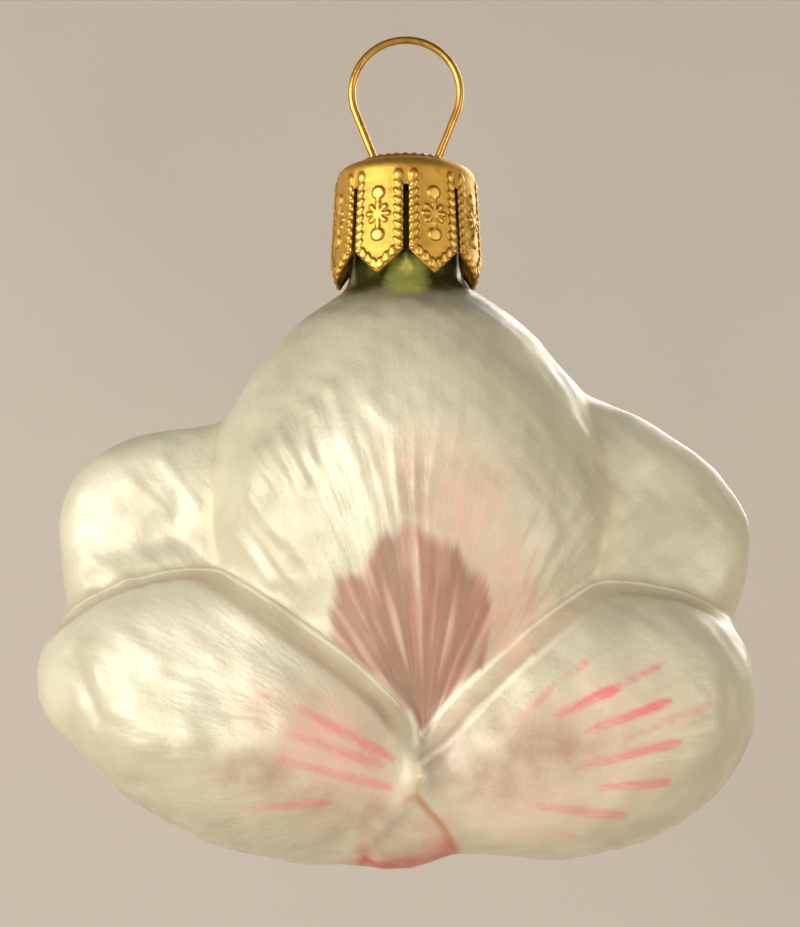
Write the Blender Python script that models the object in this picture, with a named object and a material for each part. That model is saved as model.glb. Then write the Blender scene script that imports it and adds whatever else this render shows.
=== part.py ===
"""Glass orchid ornament: a hollow blown blossom, a stamped crown cap and a sprung wire loop.

Metres, +Z up. The blossom faces -Y. The origin is the inside top of the wire loop, where it hangs on a hook.
"""

from dataclasses import dataclass
from math import acos, atan2, cos, hypot, pi, sin

import bpy
import numpy as np
from mathutils import Vector
from mathutils.geometry import interpolate_bezier

MM = 0.001

# Hanger wire
WIRE_RADIUS = 0.35 * MM
LOOP_OUTER_HALF_WIDTH = 5.30 * MM
LOOP_RADIUS = LOOP_OUTER_HALF_WIDTH - WIRE_RADIUS
LOOP_CENTRE_Z = WIRE_RADIUS - LOOP_RADIUS
LEG_AT_CAP = (2.83 * MM, -10.9 * MM)
LEG_AT_NECK_FOOT = (3.22 * MM, -22.0 * MM)
LEG_END = (5.30 * MM, -27.5 * MM)
LEG_PULL_IN = 1.2 * MM
LEG_PULL_OUT = 3.0 * MM
LOOP_STEPS = 30
LEG_STEPS = 14

# Crown cap
SHEET = 0.35 * MM
CAP_TOP_Z = -10.65 * MM
CAP_SHOULDER_Z = -13.1 * MM
CAP_SHOULDER_RADIUS = 6.30 * MM
CAP_CURVE_POWER = 2.3
SLOT_TOP_Z = -14.4 * MM
LOBE_SIDE_END_Z = -20.3 * MM
LOBE_TIP_Z = -22.4 * MM
LOBE_TIP_RADIUS = 6.80 * MM
LOBES = 8
SLOT_WIDTH = 0.45 * MM
LEG_HOLE_RADIUS = 0.75 * MM
CAP_RINGS = 7
LOBE_COLUMNS = 6
LOBE_ROWS = 6

# Glass body
WALL = 0.85 * MM
NECK_RADIUS = 5.0 * MM
NECK_TOP_Z = -12.25 * MM
NECK_FOOT_Z = -21.8 * MM
CREASE_SOFTNESS = 0.5 * MM

# Rays that find the glass surface: they start on a short upright spine and on a disc across it
SPINE_CENTRE_Z = -52.0 * MM
SPINE_REACH = 10.0 * MM
SPINE_SPREAD = 12.0 * MM
SHOULDER_TURN_DEG = 42
SHOULDER_CROWDING = 1.15
FRONT_CROWDING = 0.25
RAY_LENGTH = 40 * MM
HALVINGS = 24
BODY_COLUMNS = 88
NECK_ROWS = 4
SHOULDER_ROWS = 9
BODY_ROWS = 30
INNER_ROW_STEP = 3


@dataclass(frozen=True)
class Pillow:
    """One swelling of the mould: an oval in the XZ plane, rounded off to the front (-Y) and the back."""

    x: float
    z: float
    half_length: float
    half_width: float
    tilt_deg: float
    front: float
    back: float
    outline_power: float
    edge_power: float = 2.4
    taper: float = 0.0


# Sizes in millimetres
PILLOWS = {
    "top_petal": Pillow(0.4, -44.2, 18.6, 22.6, 0, 14.5, 13.0, 1.78, 2.2),
    "left_sepal": Pillow(-19.5, -47.2, 11.2, 11.6, 10.5, 7.0, 8.5, 2.7),
    "right_sepal": Pillow(15.25, -49.3, 13.6, 15.6, -34, 7.0, 8.5, 2.7),
    "left_petal": Pillow(-13.4, -61.2, 18.0, 11.6, -22, 15.0, 12.0, 2.1, 2.6),
    "right_petal": Pillow(14.6, -62.3, 16.9, 11.4, 22.8, 15.0, 12.0, 1.9, 2.6, 0.18),
    "left_tip": Pillow(-28.9, -58.5, 3.7, 4.6, 15, 5.5, 5.0, 2.2, 2.2),
    "lip": Pillow(0.1, -70.3, 4.3, 3.7, 0, 13.0, 8.0, 2.3),
    "core": Pillow(0.2, -60.5, 16.0, 11.0, 0, 9.6, 9.5, 2.2),
}


def clear_scene():
    for obj in list(bpy.data.objects):
        bpy.data.objects.remove(obj, do_unlink=True)


def material(name, colour, roughness, metallic):
    finish = bpy.data.materials.new(name)
    finish.use_nodes = True
    shader = finish.node_tree.nodes["Principled BSDF"]
    shader.inputs["Base Color"].default_value = (*colour, 1.0)
    shader.inputs["Roughness"].default_value = roughness
    shader.inputs["Metallic"].default_value = metallic
    return finish


def add_object(name, data, finish):
    obj = bpy.data.objects.new(name, data)
    bpy.context.scene.collection.objects.link(obj)
    data.materials.append(finish)
    return obj


def mesh_object(name, points, faces, finish):
    mesh = bpy.data.meshes.new(name)
    mesh.from_pydata([tuple(point) for point in points], [], faces)
    mesh.validate()
    mesh.shade_smooth()
    return add_object(name, mesh, finish)


def pillow_depth(pillow, points):
    """Distance outside one pillow, in millimetres, and negative inside it; true along its shortest half-axis."""
    tilt = np.radians(pillow.tilt_deg)
    across = points[..., 0] - pillow.x
    up = points[..., 2] - pillow.z
    along = (across * np.cos(tilt) + up * np.sin(tilt)) / pillow.half_length
    beside = (up * np.cos(tilt) - across * np.sin(tilt)) / pillow.half_width
    beside = beside / (1 + pillow.taper * np.clip(along, -1, 1))
    power = pillow.outline_power
    oval = (np.abs(along) ** power + np.abs(beside) ** power) ** (1 / power)
    depth = np.abs(points[..., 1]) / np.where(points[..., 1] < 0, pillow.front, pillow.back)
    power = pillow.edge_power
    size = (oval**power + depth**power) ** (1 / power)
    return (size - 1) * min(pillow.half_length, pillow.half_width, pillow.front, pillow.back)


def neck_depth(points):
    """Distance outside the neck's tube, which runs down into the top petal."""
    outside = np.hypot(points[..., 0], points[..., 1]) - NECK_RADIUS / MM
    below = PILLOWS["top_petal"].z - points[..., 2]
    return np.maximum(outside, below)


def blossom_depth(points):
    """Smooth union of the pillows and the neck: their lowest depth, with the creases between them rounded."""
    depths = [pillow_depth(pillow, points) for pillow in PILLOWS.values()]
    depths = np.stack([*depths, neck_depth(points)])
    lowest = depths.min(axis=0)
    softness = CREASE_SOFTNESS / MM
    return lowest - softness * np.log(np.exp((lowest - depths) / softness).sum(axis=0))


def ray_rows():
    """Height, rise angle and sideways spread of the rays' start points, one value a row, from the rim down.

    Level rays cover the neck. They tip upwards over the shoulder, then turn evenly down to the bottom.
    """
    centre, reach, spread = SPINE_CENTRE_Z / MM, SPINE_REACH / MM, SPINE_SPREAD / MM
    foot = NECK_FOOT_Z / MM
    join = np.radians(SHOULDER_TURN_DEG)
    turn = np.linspace(join, np.pi, BODY_ROWS)
    step = np.linspace(0, 1, SHOULDER_ROWS, endpoint=False)
    neck = np.linspace(NECK_TOP_Z / MM, foot, NECK_ROWS, endpoint=False)
    shoulder = foot + (centre + reach * np.cos(join) - foot) * step**SHOULDER_CROWDING
    shoulder_rise = (np.pi / 2 - join) * (1 - (1 - step) ** 2)
    shoulder_spread = spread * np.sin(join) * step**2 * (3 - 2 * step)
    heights = np.concatenate([neck, shoulder, centre + reach * np.cos(turn)])
    rises = np.concatenate([0 * neck, shoulder_rise, np.pi / 2 - turn])
    spreads = np.concatenate([0 * neck, shoulder_spread, spread * np.sin(turn)])
    return heights[:, None], rises[:, None], spreads[:, None]


def blossom_points(level):
    """Rows of points on the surface that lies `level` millimetres outside the blossom, by halving along rays."""
    heights, rises, spreads = ray_rows()
    angle = np.linspace(0, 2 * np.pi, BODY_COLUMNS, endpoint=False)
    angle = (angle - FRONT_CROWDING * np.sin(angle))[None]
    flat = np.zeros_like(heights * angle)
    start = np.stack([spreads * np.sin(angle), flat, heights + flat], axis=-1)
    aim = np.stack(
        [np.cos(rises) * np.sin(angle), -np.cos(rises) * np.cos(angle), np.sin(rises) + flat],
        axis=-1,
    )
    near = flat.copy()
    far = flat + RAY_LENGTH / MM
    for _ in range(HALVINGS):
        middle = (near + far) / 2
        inside = blossom_depth(start + aim * middle[..., None]) < level
        near = np.where(inside, middle, near)
        far = np.where(inside, far, middle)
    return start + aim * near[..., None]


def wall_faces(rows, first, pole, outwards):
    """Quads between rows of points that start at index `first`, and a fan from the last row to the pole."""
    faces = []
    for row in range(rows - 1):
        for column in range(BODY_COLUMNS):
            after = (column + 1) % BODY_COLUMNS
            upper = first + row * BODY_COLUMNS
            lower = upper + BODY_COLUMNS
            faces.append((upper + column, lower + column, lower + after, upper + after))
    last = first + (rows - 1) * BODY_COLUMNS
    faces += [(last + c, pole, last + (c + 1) % BODY_COLUMNS) for c in range(BODY_COLUMNS)]
    return faces if outwards else [face[::-1] for face in faces]


def glass_body(finish):
    """The blown shell: outer surface, flat rim at the top of the neck, and inner surface."""
    outer = blossom_points(0.0)
    inner = blossom_points(-WALL / MM)
    inner = np.concatenate([inner[: NECK_ROWS + 1], inner[NECK_ROWS + 1 :: INNER_ROW_STEP]])
    rows = []
    for surface in (outer, inner):
        rings, bottom = surface[:-1], surface[-1].mean(axis=0)
        rows.append((len(rings), np.concatenate([rings.reshape(-1, 3), bottom[None]])))
    (outer_rows, outer_points), (inner_rows, inner_points) = rows
    first_inner = len(outer_points)
    faces = wall_faces(outer_rows, 0, first_inner - 1, True)
    faces += wall_faces(inner_rows, first_inner, first_inner + len(inner_points) - 1, False)
    for column in range(BODY_COLUMNS):
        after = (column + 1) % BODY_COLUMNS
        faces.append((column, after, first_inner + after, first_inner + column))
    points = np.concatenate([outer_points, inner_points]) * MM
    return mesh_object("glass_body", points, faces, finish)


def cap_profile(share):
    """Radius and height on the cap's dome, from its centre (share 0) to its shoulder (share 1)."""
    turn = share * pi / 2
    power = 2 / CAP_CURVE_POWER
    radius = CAP_SHOULDER_RADIUS * sin(turn) ** power
    rise = (CAP_TOP_Z - CAP_SHOULDER_Z) * max(cos(turn), 0.0) ** power
    return radius, CAP_SHOULDER_Z + rise


def skirt_radius(z):
    """The skirt flares evenly from the shoulder to the lobes' tips."""
    share = (CAP_SHOULDER_Z - z) / (CAP_SHOULDER_Z - LOBE_TIP_Z)
    return CAP_SHOULDER_RADIUS + (LOBE_TIP_RADIUS - CAP_SHOULDER_RADIUS) * share


def ring_point(radius, angle, z):
    """Angle 0 faces the front (-Y)."""
    return (radius * sin(angle), -radius * cos(angle), z)


def cap_dome(points, faces):
    """The dome's rings, as far as the slots' tops. It returns the index where the last ring starts."""
    columns = LOBES * LOBE_COLUMNS
    rings = [cap_profile(ring / CAP_RINGS) for ring in range(1, CAP_RINGS + 1)]
    rings.append((skirt_radius(SLOT_TOP_Z), SLOT_TOP_Z))
    points.append((0.0, 0.0, CAP_TOP_Z))
    for radius, z in rings:
        points += [ring_point(radius, 2 * pi * column / columns, z) for column in range(columns)]
    for column in range(columns):
        after = (column + 1) % columns
        faces.append((0, 1 + column, 1 + after))
        for ring in range(len(rings) - 1):
            upper, lower = 1 + ring * columns, 1 + (ring + 1) * columns
            faces.append((upper + column, lower + column, lower + after, upper + after))
    return 1 + (len(rings) - 1) * columns


def cap_lobe(number, last_ring, points, faces):
    """One pointed lobe, hung from its share of the dome's last ring, with a slot's half-width off each side."""
    columns = LOBES * LOBE_COLUMNS
    middle = 2 * pi * (number + 0.5) / LOBES
    above = [last_ring + (number * LOBE_COLUMNS + c) % columns for c in range(LOBE_COLUMNS + 1)]
    for row in range(1, LOBE_ROWS + 1):
        first = len(points)
        for column in range(LOBE_COLUMNS + 1):
            side = 2 * column / LOBE_COLUMNS - 1
            end = LOBE_SIDE_END_Z + (LOBE_TIP_Z - LOBE_SIDE_END_Z) * (1 - abs(side))
            z = SLOT_TOP_Z + (end - SLOT_TOP_Z) * row / LOBE_ROWS
            radius = skirt_radius(z)
            half_angle = pi / LOBES - SLOT_WIDTH / 2 / CAP_SHOULDER_RADIUS
            points.append(ring_point(radius, middle + side * half_angle, z))
        row_points = list(range(first, first + LOBE_COLUMNS + 1))
        for c in range(LOBE_COLUMNS):
            faces.append((above[c], row_points[c], row_points[c + 1], above[c + 1]))
        above = row_points


def leg_hole_cutter(number, side):
    """A short upright rod where a wire leg passes the dome."""
    bpy.ops.mesh.primitive_cylinder_add(
        vertices=16,
        radius=LEG_HOLE_RADIUS,
        depth=4 * MM,
        location=(side * LEG_AT_CAP[0], 0, CAP_TOP_Z),
    )
    cutter = bpy.context.active_object
    cutter.name = f"leg_hole_cutter_{number}"
    cutter.hide_render = True
    cutter.display_type = "WIRE"
    return cutter


def crown_cap(finish):
    """The stamped cap: one sheet with a dome, eight lobes, and two holes for the wire's legs."""
    points, faces = [], []
    last_ring = cap_dome(points, faces)
    for number in range(LOBES):
        cap_lobe(number, last_ring, points, faces)
    cap = mesh_object("crown_cap", points, faces, finish)
    sheet = cap.modifiers.new("sheet", "SOLIDIFY")
    sheet.thickness = SHEET
    sheet.offset = -1
    sheet.use_even_offset = True
    for number, side in enumerate((-1, 1)):
        hole = cap.modifiers.new(f"leg_hole_{number}", "BOOLEAN")
        hole.operation = "DIFFERENCE"
        hole.object = leg_hole_cutter(number, side)
    return cap


def right_leg():
    """The right leg's centre line, from the cap down: in through the hole, then spreading inside the neck."""
    start = Vector((*LEG_AT_CAP, 0))
    foot = Vector((*LEG_AT_NECK_FOOT, 0))
    end = Vector((*LEG_END, 0))
    loop_side = Vector((*leg_start(), 0))
    inwards = (start - loop_side).normalized() * LEG_PULL_IN
    outwards = (end - foot).normalized() * LEG_PULL_OUT
    upper = interpolate_bezier(start, start + inwards, foot - outwards, foot, LEG_STEPS)
    return [loop_side, *upper, end]


def leg_start():
    """Where the straight upper leg leaves the loop's circle as its tangent."""
    x, z = LEG_AT_CAP
    drop = z - LOOP_CENTRE_Z
    angle = atan2(drop, x) + acos(LOOP_RADIUS / hypot(x, drop))
    return LOOP_RADIUS * cos(angle), LOOP_CENTRE_Z + LOOP_RADIUS * sin(angle)


def hanger_wire(finish):
    """One bent wire: left leg, loop and right leg."""
    leg = [(point.x, point.y) for point in right_leg()]
    x, z = leg[0]
    first = atan2(z - LOOP_CENTRE_Z, x)
    sweep = pi - 2 * first
    angles = [first + sweep * step / LOOP_STEPS for step in range(1, LOOP_STEPS)]
    loop = [(LOOP_RADIUS * cos(a), LOOP_CENTRE_Z + LOOP_RADIUS * sin(a)) for a in angles]
    left_leg = [(-x, z) for x, z in leg]
    route = leg[::-1] + loop + left_leg
    curve = bpy.data.curves.new("hanger_wire", "CURVE")
    curve.dimensions = "3D"
    curve.bevel_depth = WIRE_RADIUS
    curve.bevel_resolution = 2
    curve.use_fill_caps = True
    spline = curve.splines.new("POLY")
    spline.points.add(len(route) - 1)
    for point, (x, z) in zip(spline.points, route):
        point.co = (x, 0, z, 1)
    return add_object("hanger_wire", curve, finish)


def build():
    clear_scene()
    pearl = material("pearl_lacquer", (0.80, 0.76, 0.60), 0.28, 0.0)
    gold = material("stamped_gold", (0.83, 0.56, 0.16), 0.32, 1.0)
    wire = material("gold_wire", (0.72, 0.48, 0.16), 0.22, 1.0)
    glass_body(pearl)
    crown_cap(gold)
    hanger_wire(wire)


build()
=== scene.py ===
"""Looks of a mould-blown glass orchid ornament with a stamped gold cap and a wire hanging loop.

Shapes are worked out in millimetres in the frame's own axes and put into the meshes in metres: +Z up, the
blossom facing -Y, and the origin at the inside top of the wire loop.
"""

import logging
from dataclasses import dataclass
from enum import Enum

import bpy
import numpy as np
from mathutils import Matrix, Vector


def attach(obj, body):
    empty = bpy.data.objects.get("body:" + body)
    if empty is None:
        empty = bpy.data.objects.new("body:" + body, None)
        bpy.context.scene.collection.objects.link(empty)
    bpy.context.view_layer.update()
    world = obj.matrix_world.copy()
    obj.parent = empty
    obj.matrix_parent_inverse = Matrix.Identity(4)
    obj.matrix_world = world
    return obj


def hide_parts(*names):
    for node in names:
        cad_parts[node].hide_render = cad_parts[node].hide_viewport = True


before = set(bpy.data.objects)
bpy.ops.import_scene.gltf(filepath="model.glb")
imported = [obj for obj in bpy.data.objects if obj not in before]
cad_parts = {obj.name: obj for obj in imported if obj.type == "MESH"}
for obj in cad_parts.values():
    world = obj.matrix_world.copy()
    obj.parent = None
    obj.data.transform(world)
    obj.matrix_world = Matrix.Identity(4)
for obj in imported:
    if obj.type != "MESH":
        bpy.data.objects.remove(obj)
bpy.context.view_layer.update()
MM = 0.001
BODY = "root"
Pixel = tuple[float, float]
Colour = tuple[float, float, float]
RIMS = ("left_rim", "right_rim")
# Besides the hand painting these channels carry painted light: painted shade along the creases, in the taupe
# wash and in the shade channel, and a painted highlight in the lacquer attribute.
PAINT_CHANNELS = {
    "brush": ("edge", "strength", "fan", "peach"),
    "tint": ("red", "fold", "front", "taupe_and_shade"),
    "creases": ("left_rim", "right_rim", "lip_edge", "shade"),
    "lacquer": ("painted_highlight",),
}
log = logging.getLogger("orchid_ornament")


def smooth_step(values: np.ndarray, low: float, high: float) -> np.ndarray:
    """Rise from 0 at low to 1 at high: t squared times (3 - 2t), where t is the clipped share of the way.

    Args:
        values: Numbers to map.
        low: Where the rise starts; it may be the larger of the two.
        high: Where the rise ends.

    Returns:
        An array of the values' shape, from 0 to 1.
    """
    share = np.clip((values - low) / (high - low), 0.0, 1.0)
    return share * share * (3 - 2 * share)


def soft_union(depths: list[np.ndarray], softness: float) -> np.ndarray:
    """Merge depths: minus the softness times the log of the sum of e to minus each depth over the softness.

    Args:
        depths: Distances outside each shape, in arrays of one shape.
        softness: Millimetres over which a crease is filled.

    Returns:
        The distance outside the merged shape.
    """
    stack = np.stack(depths)
    lowest = stack.min(axis=0)
    return lowest - softness * np.log(np.exp((lowest - stack) / softness).sum(axis=0))


def bell(values: np.ndarray, centre: float, half_width: float) -> np.ndarray:
    """A bell curve: e to the minus square of the distance from the centre over the half-width."""
    return np.exp(-(((values - centre) / half_width) ** 2))


def linear(red: float, green: float, blue: float) -> tuple[float, float, float, float]:
    """Turn a colour as a screen shows it, 0 to 255, into the linear values that a shader takes.

    Args:
        red: Red channel.
        green: Green channel.
        blue: Blue channel.

    Returns:
        Linear red, green and blue, and an alpha of 1.
    """
    shares = [channel / 255 for channel in (red, green, blue)]
    return tuple([s / 12.92 if s < 0.04045 else ((s + 0.055) / 1.055) ** 2.4 for s in shares] + [1.0])


def soft_lumps(points: np.ndarray, wavelength: float, waves: int, seed: int) -> np.ndarray:
    """Smooth irregular lumps: sine waves in seeded directions, times the root of 2 over their number.

    Args:
        points: Points in millimetres, last axis x, y, z.
        wavelength: Typical distance from lump to lump.
        waves: How many sine waves are summed.
        seed: Seed of the directions, lengths and phases.

    Returns:
        One value a point, mostly from -1 to 1.
    """
    random = np.random.default_rng(seed)
    directions = random.normal(size=(waves, 3))
    directions /= np.linalg.norm(directions, axis=1, keepdims=True)
    lengths = wavelength * random.uniform(0.7, 1.5, waves)
    phases = random.uniform(0, 2 * np.pi, waves)
    angles = points @ (2 * np.pi * directions / lengths[:, None]).T + phases
    return np.sin(angles).sum(axis=-1) * np.sqrt(2 / waves)


def grid_quads(rows: int, columns: int, first: int, closed: bool, outwards: bool) -> np.ndarray:
    """Quads between rows of points that run from top to bottom, each row turning from -Y towards +X.

    Args:
        rows: Number of rows.
        columns: Points in a row.
        first: Index of the grid's first point.
        closed: Whether the last column joins the first.
        outwards: Whether the faces point away from the axis.

    Returns:
        One quad a row, as four point indices.
    """
    row, column = np.meshgrid(np.arange(rows - 1), np.arange(columns - (not closed)), indexing="ij")
    after = (column + 1) % columns
    upper = first + row * columns
    quads = np.stack([upper + column, upper + columns + column, upper + columns + after, upper + after], -1)
    quads = quads.reshape(-1, 4)
    return quads if outwards else quads[:, ::-1]


def strip_quads(one: np.ndarray, other: np.ndarray, closed: bool) -> np.ndarray:
    """Quads between two equally long runs of point indices: one, next of one, next of other, other.

    Args:
        one: Indices along the first run.
        other: Indices along the second run.
        closed: Whether the runs' last points join their first.

    Returns:
        One quad a row.
    """
    next_one, next_other = np.roll(one, -1), np.roll(other, -1)
    quads = np.stack([one, next_one, next_other, other], axis=-1)
    return quads if closed else quads[:-1]


def fan_triangles(ring: np.ndarray, pole: int) -> np.ndarray:
    """Triangles from each step of a closed ring of point indices to its pole."""
    return np.stack([ring, np.full_like(ring, pole), np.roll(ring, -1)], axis=-1)


def rounded(values: np.ndarray, times: int) -> np.ndarray:
    """Round off a field's corners on a closed grid: the mean with the four neighbours, repeated.

    Args:
        values: One value a grid point.
        times: How often the mean is taken.

    Returns:
        An array of the grid's shape.
    """
    for _ in range(times):
        padded = np.pad(values, ((1, 1), (0, 0)), mode="edge")
        beside = np.roll(values, 1, axis=1) + np.roll(values, -1, axis=1)
        values = (values + padded[:-2] + padded[2:] + beside) / 5
    return values


def grid_normals(points: np.ndarray) -> np.ndarray:
    """Unit normals of a grid closed along its columns: its downward step crossed with its turning step.

    Args:
        points: Grid of points, rows from top to bottom, columns turning from -Y towards +X.

    Returns:
        An array of the grid's shape, pointing outwards.
    """
    down = np.gradient(points, axis=0)
    turn = np.roll(points, -1, axis=1) - np.roll(points, 1, axis=1)
    normals = np.cross(down, turn)
    return normals / np.maximum(np.linalg.norm(normals, axis=-1, keepdims=True), 1e-9)


def add_mesh(name: str, points: np.ndarray, faces: list[np.ndarray]) -> bpy.types.Object:
    """Make a smooth-shaded mesh object at the origin.

    Args:
        name: Name of the piece.
        points: Points in millimetres, one a row.
        faces: Arrays of quads or triangles, each a row of point indices.

    Returns:
        The new object.
    """
    mesh = bpy.data.meshes.new(name)
    corners = np.concatenate([part.ravel() for part in faces]).astype(np.int32)
    lengths = np.concatenate([np.full(len(part), part.shape[1]) for part in faces])
    starts = np.concatenate([[0], np.cumsum(lengths)[:-1]]).astype(np.int32)
    mesh.vertices.add(len(points))
    mesh.vertices.foreach_set("co", (points * MM).astype(np.float32).ravel())
    mesh.loops.add(len(corners))
    mesh.loops.foreach_set("vertex_index", corners)
    mesh.polygons.add(len(starts))
    mesh.polygons.foreach_set("loop_start", starts)
    mesh.update(calc_edges=True)
    mesh.validate()
    mesh.shade_smooth()
    piece = bpy.data.objects.new(name, mesh)
    bpy.context.scene.collection.objects.link(piece)
    return piece


def add_colour_attribute(piece: bpy.types.Object, name: str, channels: list[np.ndarray]) -> None:
    """Store up to four numbers a point, which the material reads as a colour and its alpha.

    Args:
        piece: The mesh object.
        name: Name of the attribute.
        channels: One to four arrays with one value a point; the missing ones are nought.
    """
    values = np.zeros((len(piece.data.vertices), 4), np.float32)
    for column, channel in enumerate(channels):
        values[:, column] = channel
    attribute = piece.data.attributes.new(name, "FLOAT_COLOR", "POINT")
    attribute.data.foreach_set("color", values.ravel())


def dress(piece: bpy.types.Object, material: bpy.types.Material, node: str) -> None:
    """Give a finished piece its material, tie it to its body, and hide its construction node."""
    piece.data.materials.clear()
    piece.data.materials.append(material)
    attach(piece, BODY)
    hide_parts(node)
    log.info("%s: %d faces", piece.name, len(piece.data.polygons))


@dataclass(frozen=True)
class PhotoView:
    """The photograph's camera, in its pixels and in millimetres: it looks up from a little below."""

    width_px: float = 800.0
    height_px: float = 927.0
    mm_per_px: float = 0.09
    distance: float = 221.2
    rise_deg: float = 6.0
    look: tuple[float, float, float] = (-0.54, 0.0, -38.66)
    sensor: float = 36.0

    def forward(self) -> np.ndarray:
        """Unit vector of the line of sight."""
        rise = np.radians(self.rise_deg)
        return np.array([0.0, np.cos(rise), np.sin(rise)])

    def position(self) -> np.ndarray:
        """Where the camera stands."""
        return np.array(self.look) - self.distance * self.forward()

    def on_front(self, pixels: list[Pixel], depth_y: float) -> np.ndarray:
        """Carry pixels onto an upright plane: the rays through them, cut where y is the given depth.

        Args:
            pixels: Pixels of the photograph.
            depth_y: The plane's y, in millimetres.

        Returns:
            One x, z pair a pixel, in millimetres.
        """
        focal = self.distance / self.mm_per_px
        rise = np.radians(self.rise_deg)
        up = np.array([0.0, -np.sin(rise), np.cos(rise)])
        picked = np.array(pixels, float)
        across = (picked[:, :1] - self.width_px / 2) / focal
        above = (self.height_px / 2 - picked[:, 1:]) / focal
        rays = self.forward() + across * np.array([1.0, 0.0, 0.0]) + above * up
        start = self.position()
        reach = (depth_y - start[1]) / rays[:, 1:2]
        return (start + rays * reach)[:, [0, 2]]

    def add_camera(self) -> bpy.types.Object:
        """Place the camera, whose sensor width belongs to the picture's longer side, its height."""
        camera = bpy.data.objects.new("camera", bpy.data.cameras.new("camera"))
        bpy.context.scene.collection.objects.link(camera)
        camera.location = Vector(self.position()) * MM
        camera.rotation_euler = Vector(self.forward()).to_track_quat("-Z", "Y").to_euler()
        camera.data.sensor_width = self.sensor
        focal_px = self.distance / self.mm_per_px
        camera.data.lens = self.sensor * focal_px / self.height_px
        camera.data.clip_start = 0.01
        bpy.context.scene.camera = camera
        return camera


VIEW = PhotoView()


class Graph:
    """A short way to write a material's nodes."""

    def __init__(self, name: str) -> None:
        """Start a material with its Principled shader.

        Args:
            name: Name of the material.
        """
        self.material = bpy.data.materials.new(name)
        self.material.use_nodes = True
        self.tree = self.material.node_tree
        self.shader = self.tree.nodes["Principled BSDF"]

    def feed(self, socket: bpy.types.NodeSocket, value: object) -> None:
        """Link a socket to an output, or set it to a constant."""
        if isinstance(value, bpy.types.NodeSocket):
            self.tree.links.new(value, socket)
        else:
            socket.default_value = value

    def node(self, kind: str, inputs: dict[int | str, object], **settings: object) -> bpy.types.Node:
        """Add one node.

        Args:
            kind: Blender's name for the node's type.
            inputs: Constants or output sockets by the input's name or number.
            **settings: Properties of the node.

        Returns:
            The node.
        """
        made = self.tree.nodes.new(kind)
        for key, value in settings.items():
            setattr(made, key, value)
        for key, value in inputs.items():
            self.feed(made.inputs[key], value)
        return made

    def millimetres(self) -> bpy.types.NodeSocket:
        """The point's own place on the piece, in millimetres."""
        place = self.node("ShaderNodeTexCoord", {}).outputs["Object"]
        return self.node("ShaderNodeMapping", {"Vector": place, "Scale": (1000, 1000, 1000)}).outputs[0]

    def attribute(self, name: str) -> list[bpy.types.NodeSocket]:
        """The four channels of a colour attribute."""
        read = self.node("ShaderNodeAttribute", {}, attribute_name=name)
        split = self.node("ShaderNodeSeparateColor", {0: read.outputs["Color"]})
        return [*split.outputs, read.outputs["Alpha"]]

    def math(self, operation: str, one: object, other: object = 0.0) -> bpy.types.NodeSocket:
        """The result of one sum, such as ADD or MULTIPLY."""
        return self.node("ShaderNodeMath", {0: one, 1: other}, operation=operation).outputs[0]

    def step(self, value: object, low: float, high: float, top: float = 1.0) -> bpy.types.NodeSocket:
        """A smooth rise from 0 where the value is low to the top where it is high."""
        inputs = {"Value": value, "From Min": low, "From Max": high, "To Max": top}
        if low > high:
            inputs.update({"From Min": high, "From Max": low, "To Min": top, "To Max": 0.0})
        return self.node("ShaderNodeMapRange", inputs, interpolation_type="SMOOTHSTEP").outputs[0]

    def chain(self, operation: str, *values: object) -> bpy.types.NodeSocket:
        """The result of one sum taken over several values, from the first to the last."""
        total = values[0]
        for value in values[1:]:
            total = self.math(operation, total, value)
        return total

    def plus(self, *values: object) -> bpy.types.NodeSocket:
        """Several values added up."""
        return self.chain("ADD", *values)

    def times(self, *values: object) -> bpy.types.NodeSocket:
        """Several values multiplied."""
        return self.chain("MULTIPLY", *values)

    def most(self, *values: object) -> bpy.types.NodeSocket:
        """The greatest of several values."""
        return self.chain("MAXIMUM", *values)

    def less(self, one: object, other: object) -> bpy.types.NodeSocket:
        """The first value less the other."""
        return self.math("SUBTRACT", one, other)

    def ridge(
        self, value: object, centre: float, half_width: float, top: float = 1.0
    ) -> bpy.types.NodeSocket:
        """A smooth bump of a value: the top at the centre, 0 from the half-width on."""
        away = self.math("ABSOLUTE", self.less(value, centre))
        return self.step(away, half_width, 0.0, top)

    def crest(
        self, value: object, foot: float, peak: float, end: float, top: float = 1.0
    ) -> bpy.types.NodeSocket:
        """A lopsided bump of a value: a short rise from the foot to the peak, and a long fall to the end."""
        return self.times(self.step(value, foot, peak), self.step(value, end, peak, top))

    def segment(self, x: object, z: object, first: np.ndarray, last: np.ndarray) -> bpy.types.NodeSocket:
        """Distance in the XZ plane to a straight line between two x, z pairs, with round ends."""
        run = last - first
        reach = float(run @ run)
        along = self.times(self.less(x, float(first[0])), float(run[0]) / reach)
        rising = self.times(self.less(z, float(first[1])), float(run[1]) / reach)
        share = self.math("MINIMUM", self.most(self.plus(along, rising), 0.0), 1.0)
        foot = [self.plus(float(start), self.times(share, float(step))) for start, step in zip(first, run)]
        inputs = {0: self.vector(x, z), 1: self.vector(*foot)}
        return self.node("ShaderNodeVectorMath", inputs, operation="DISTANCE").outputs["Value"]

    def lines(self, x: object, z: object, paths: list[np.ndarray]) -> bpy.types.NodeSocket:
        """Distance in the XZ plane to the nearest of several bent lines, each given as rows of x, z."""
        stretches = [pair for path in paths for pair in zip(path[:-1], path[1:])]
        return self.chain("MINIMUM", *(self.segment(x, z, one, other) for one, other in stretches))

    def noise(self, vector: object, scale: float, detail: float = 2.0) -> bpy.types.NodeSocket:
        """Cloudy noise around a half."""
        inputs = {"Vector": vector, "Scale": scale, "Detail": detail}
        return self.node("ShaderNodeTexNoise", inputs).outputs[0]

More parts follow.
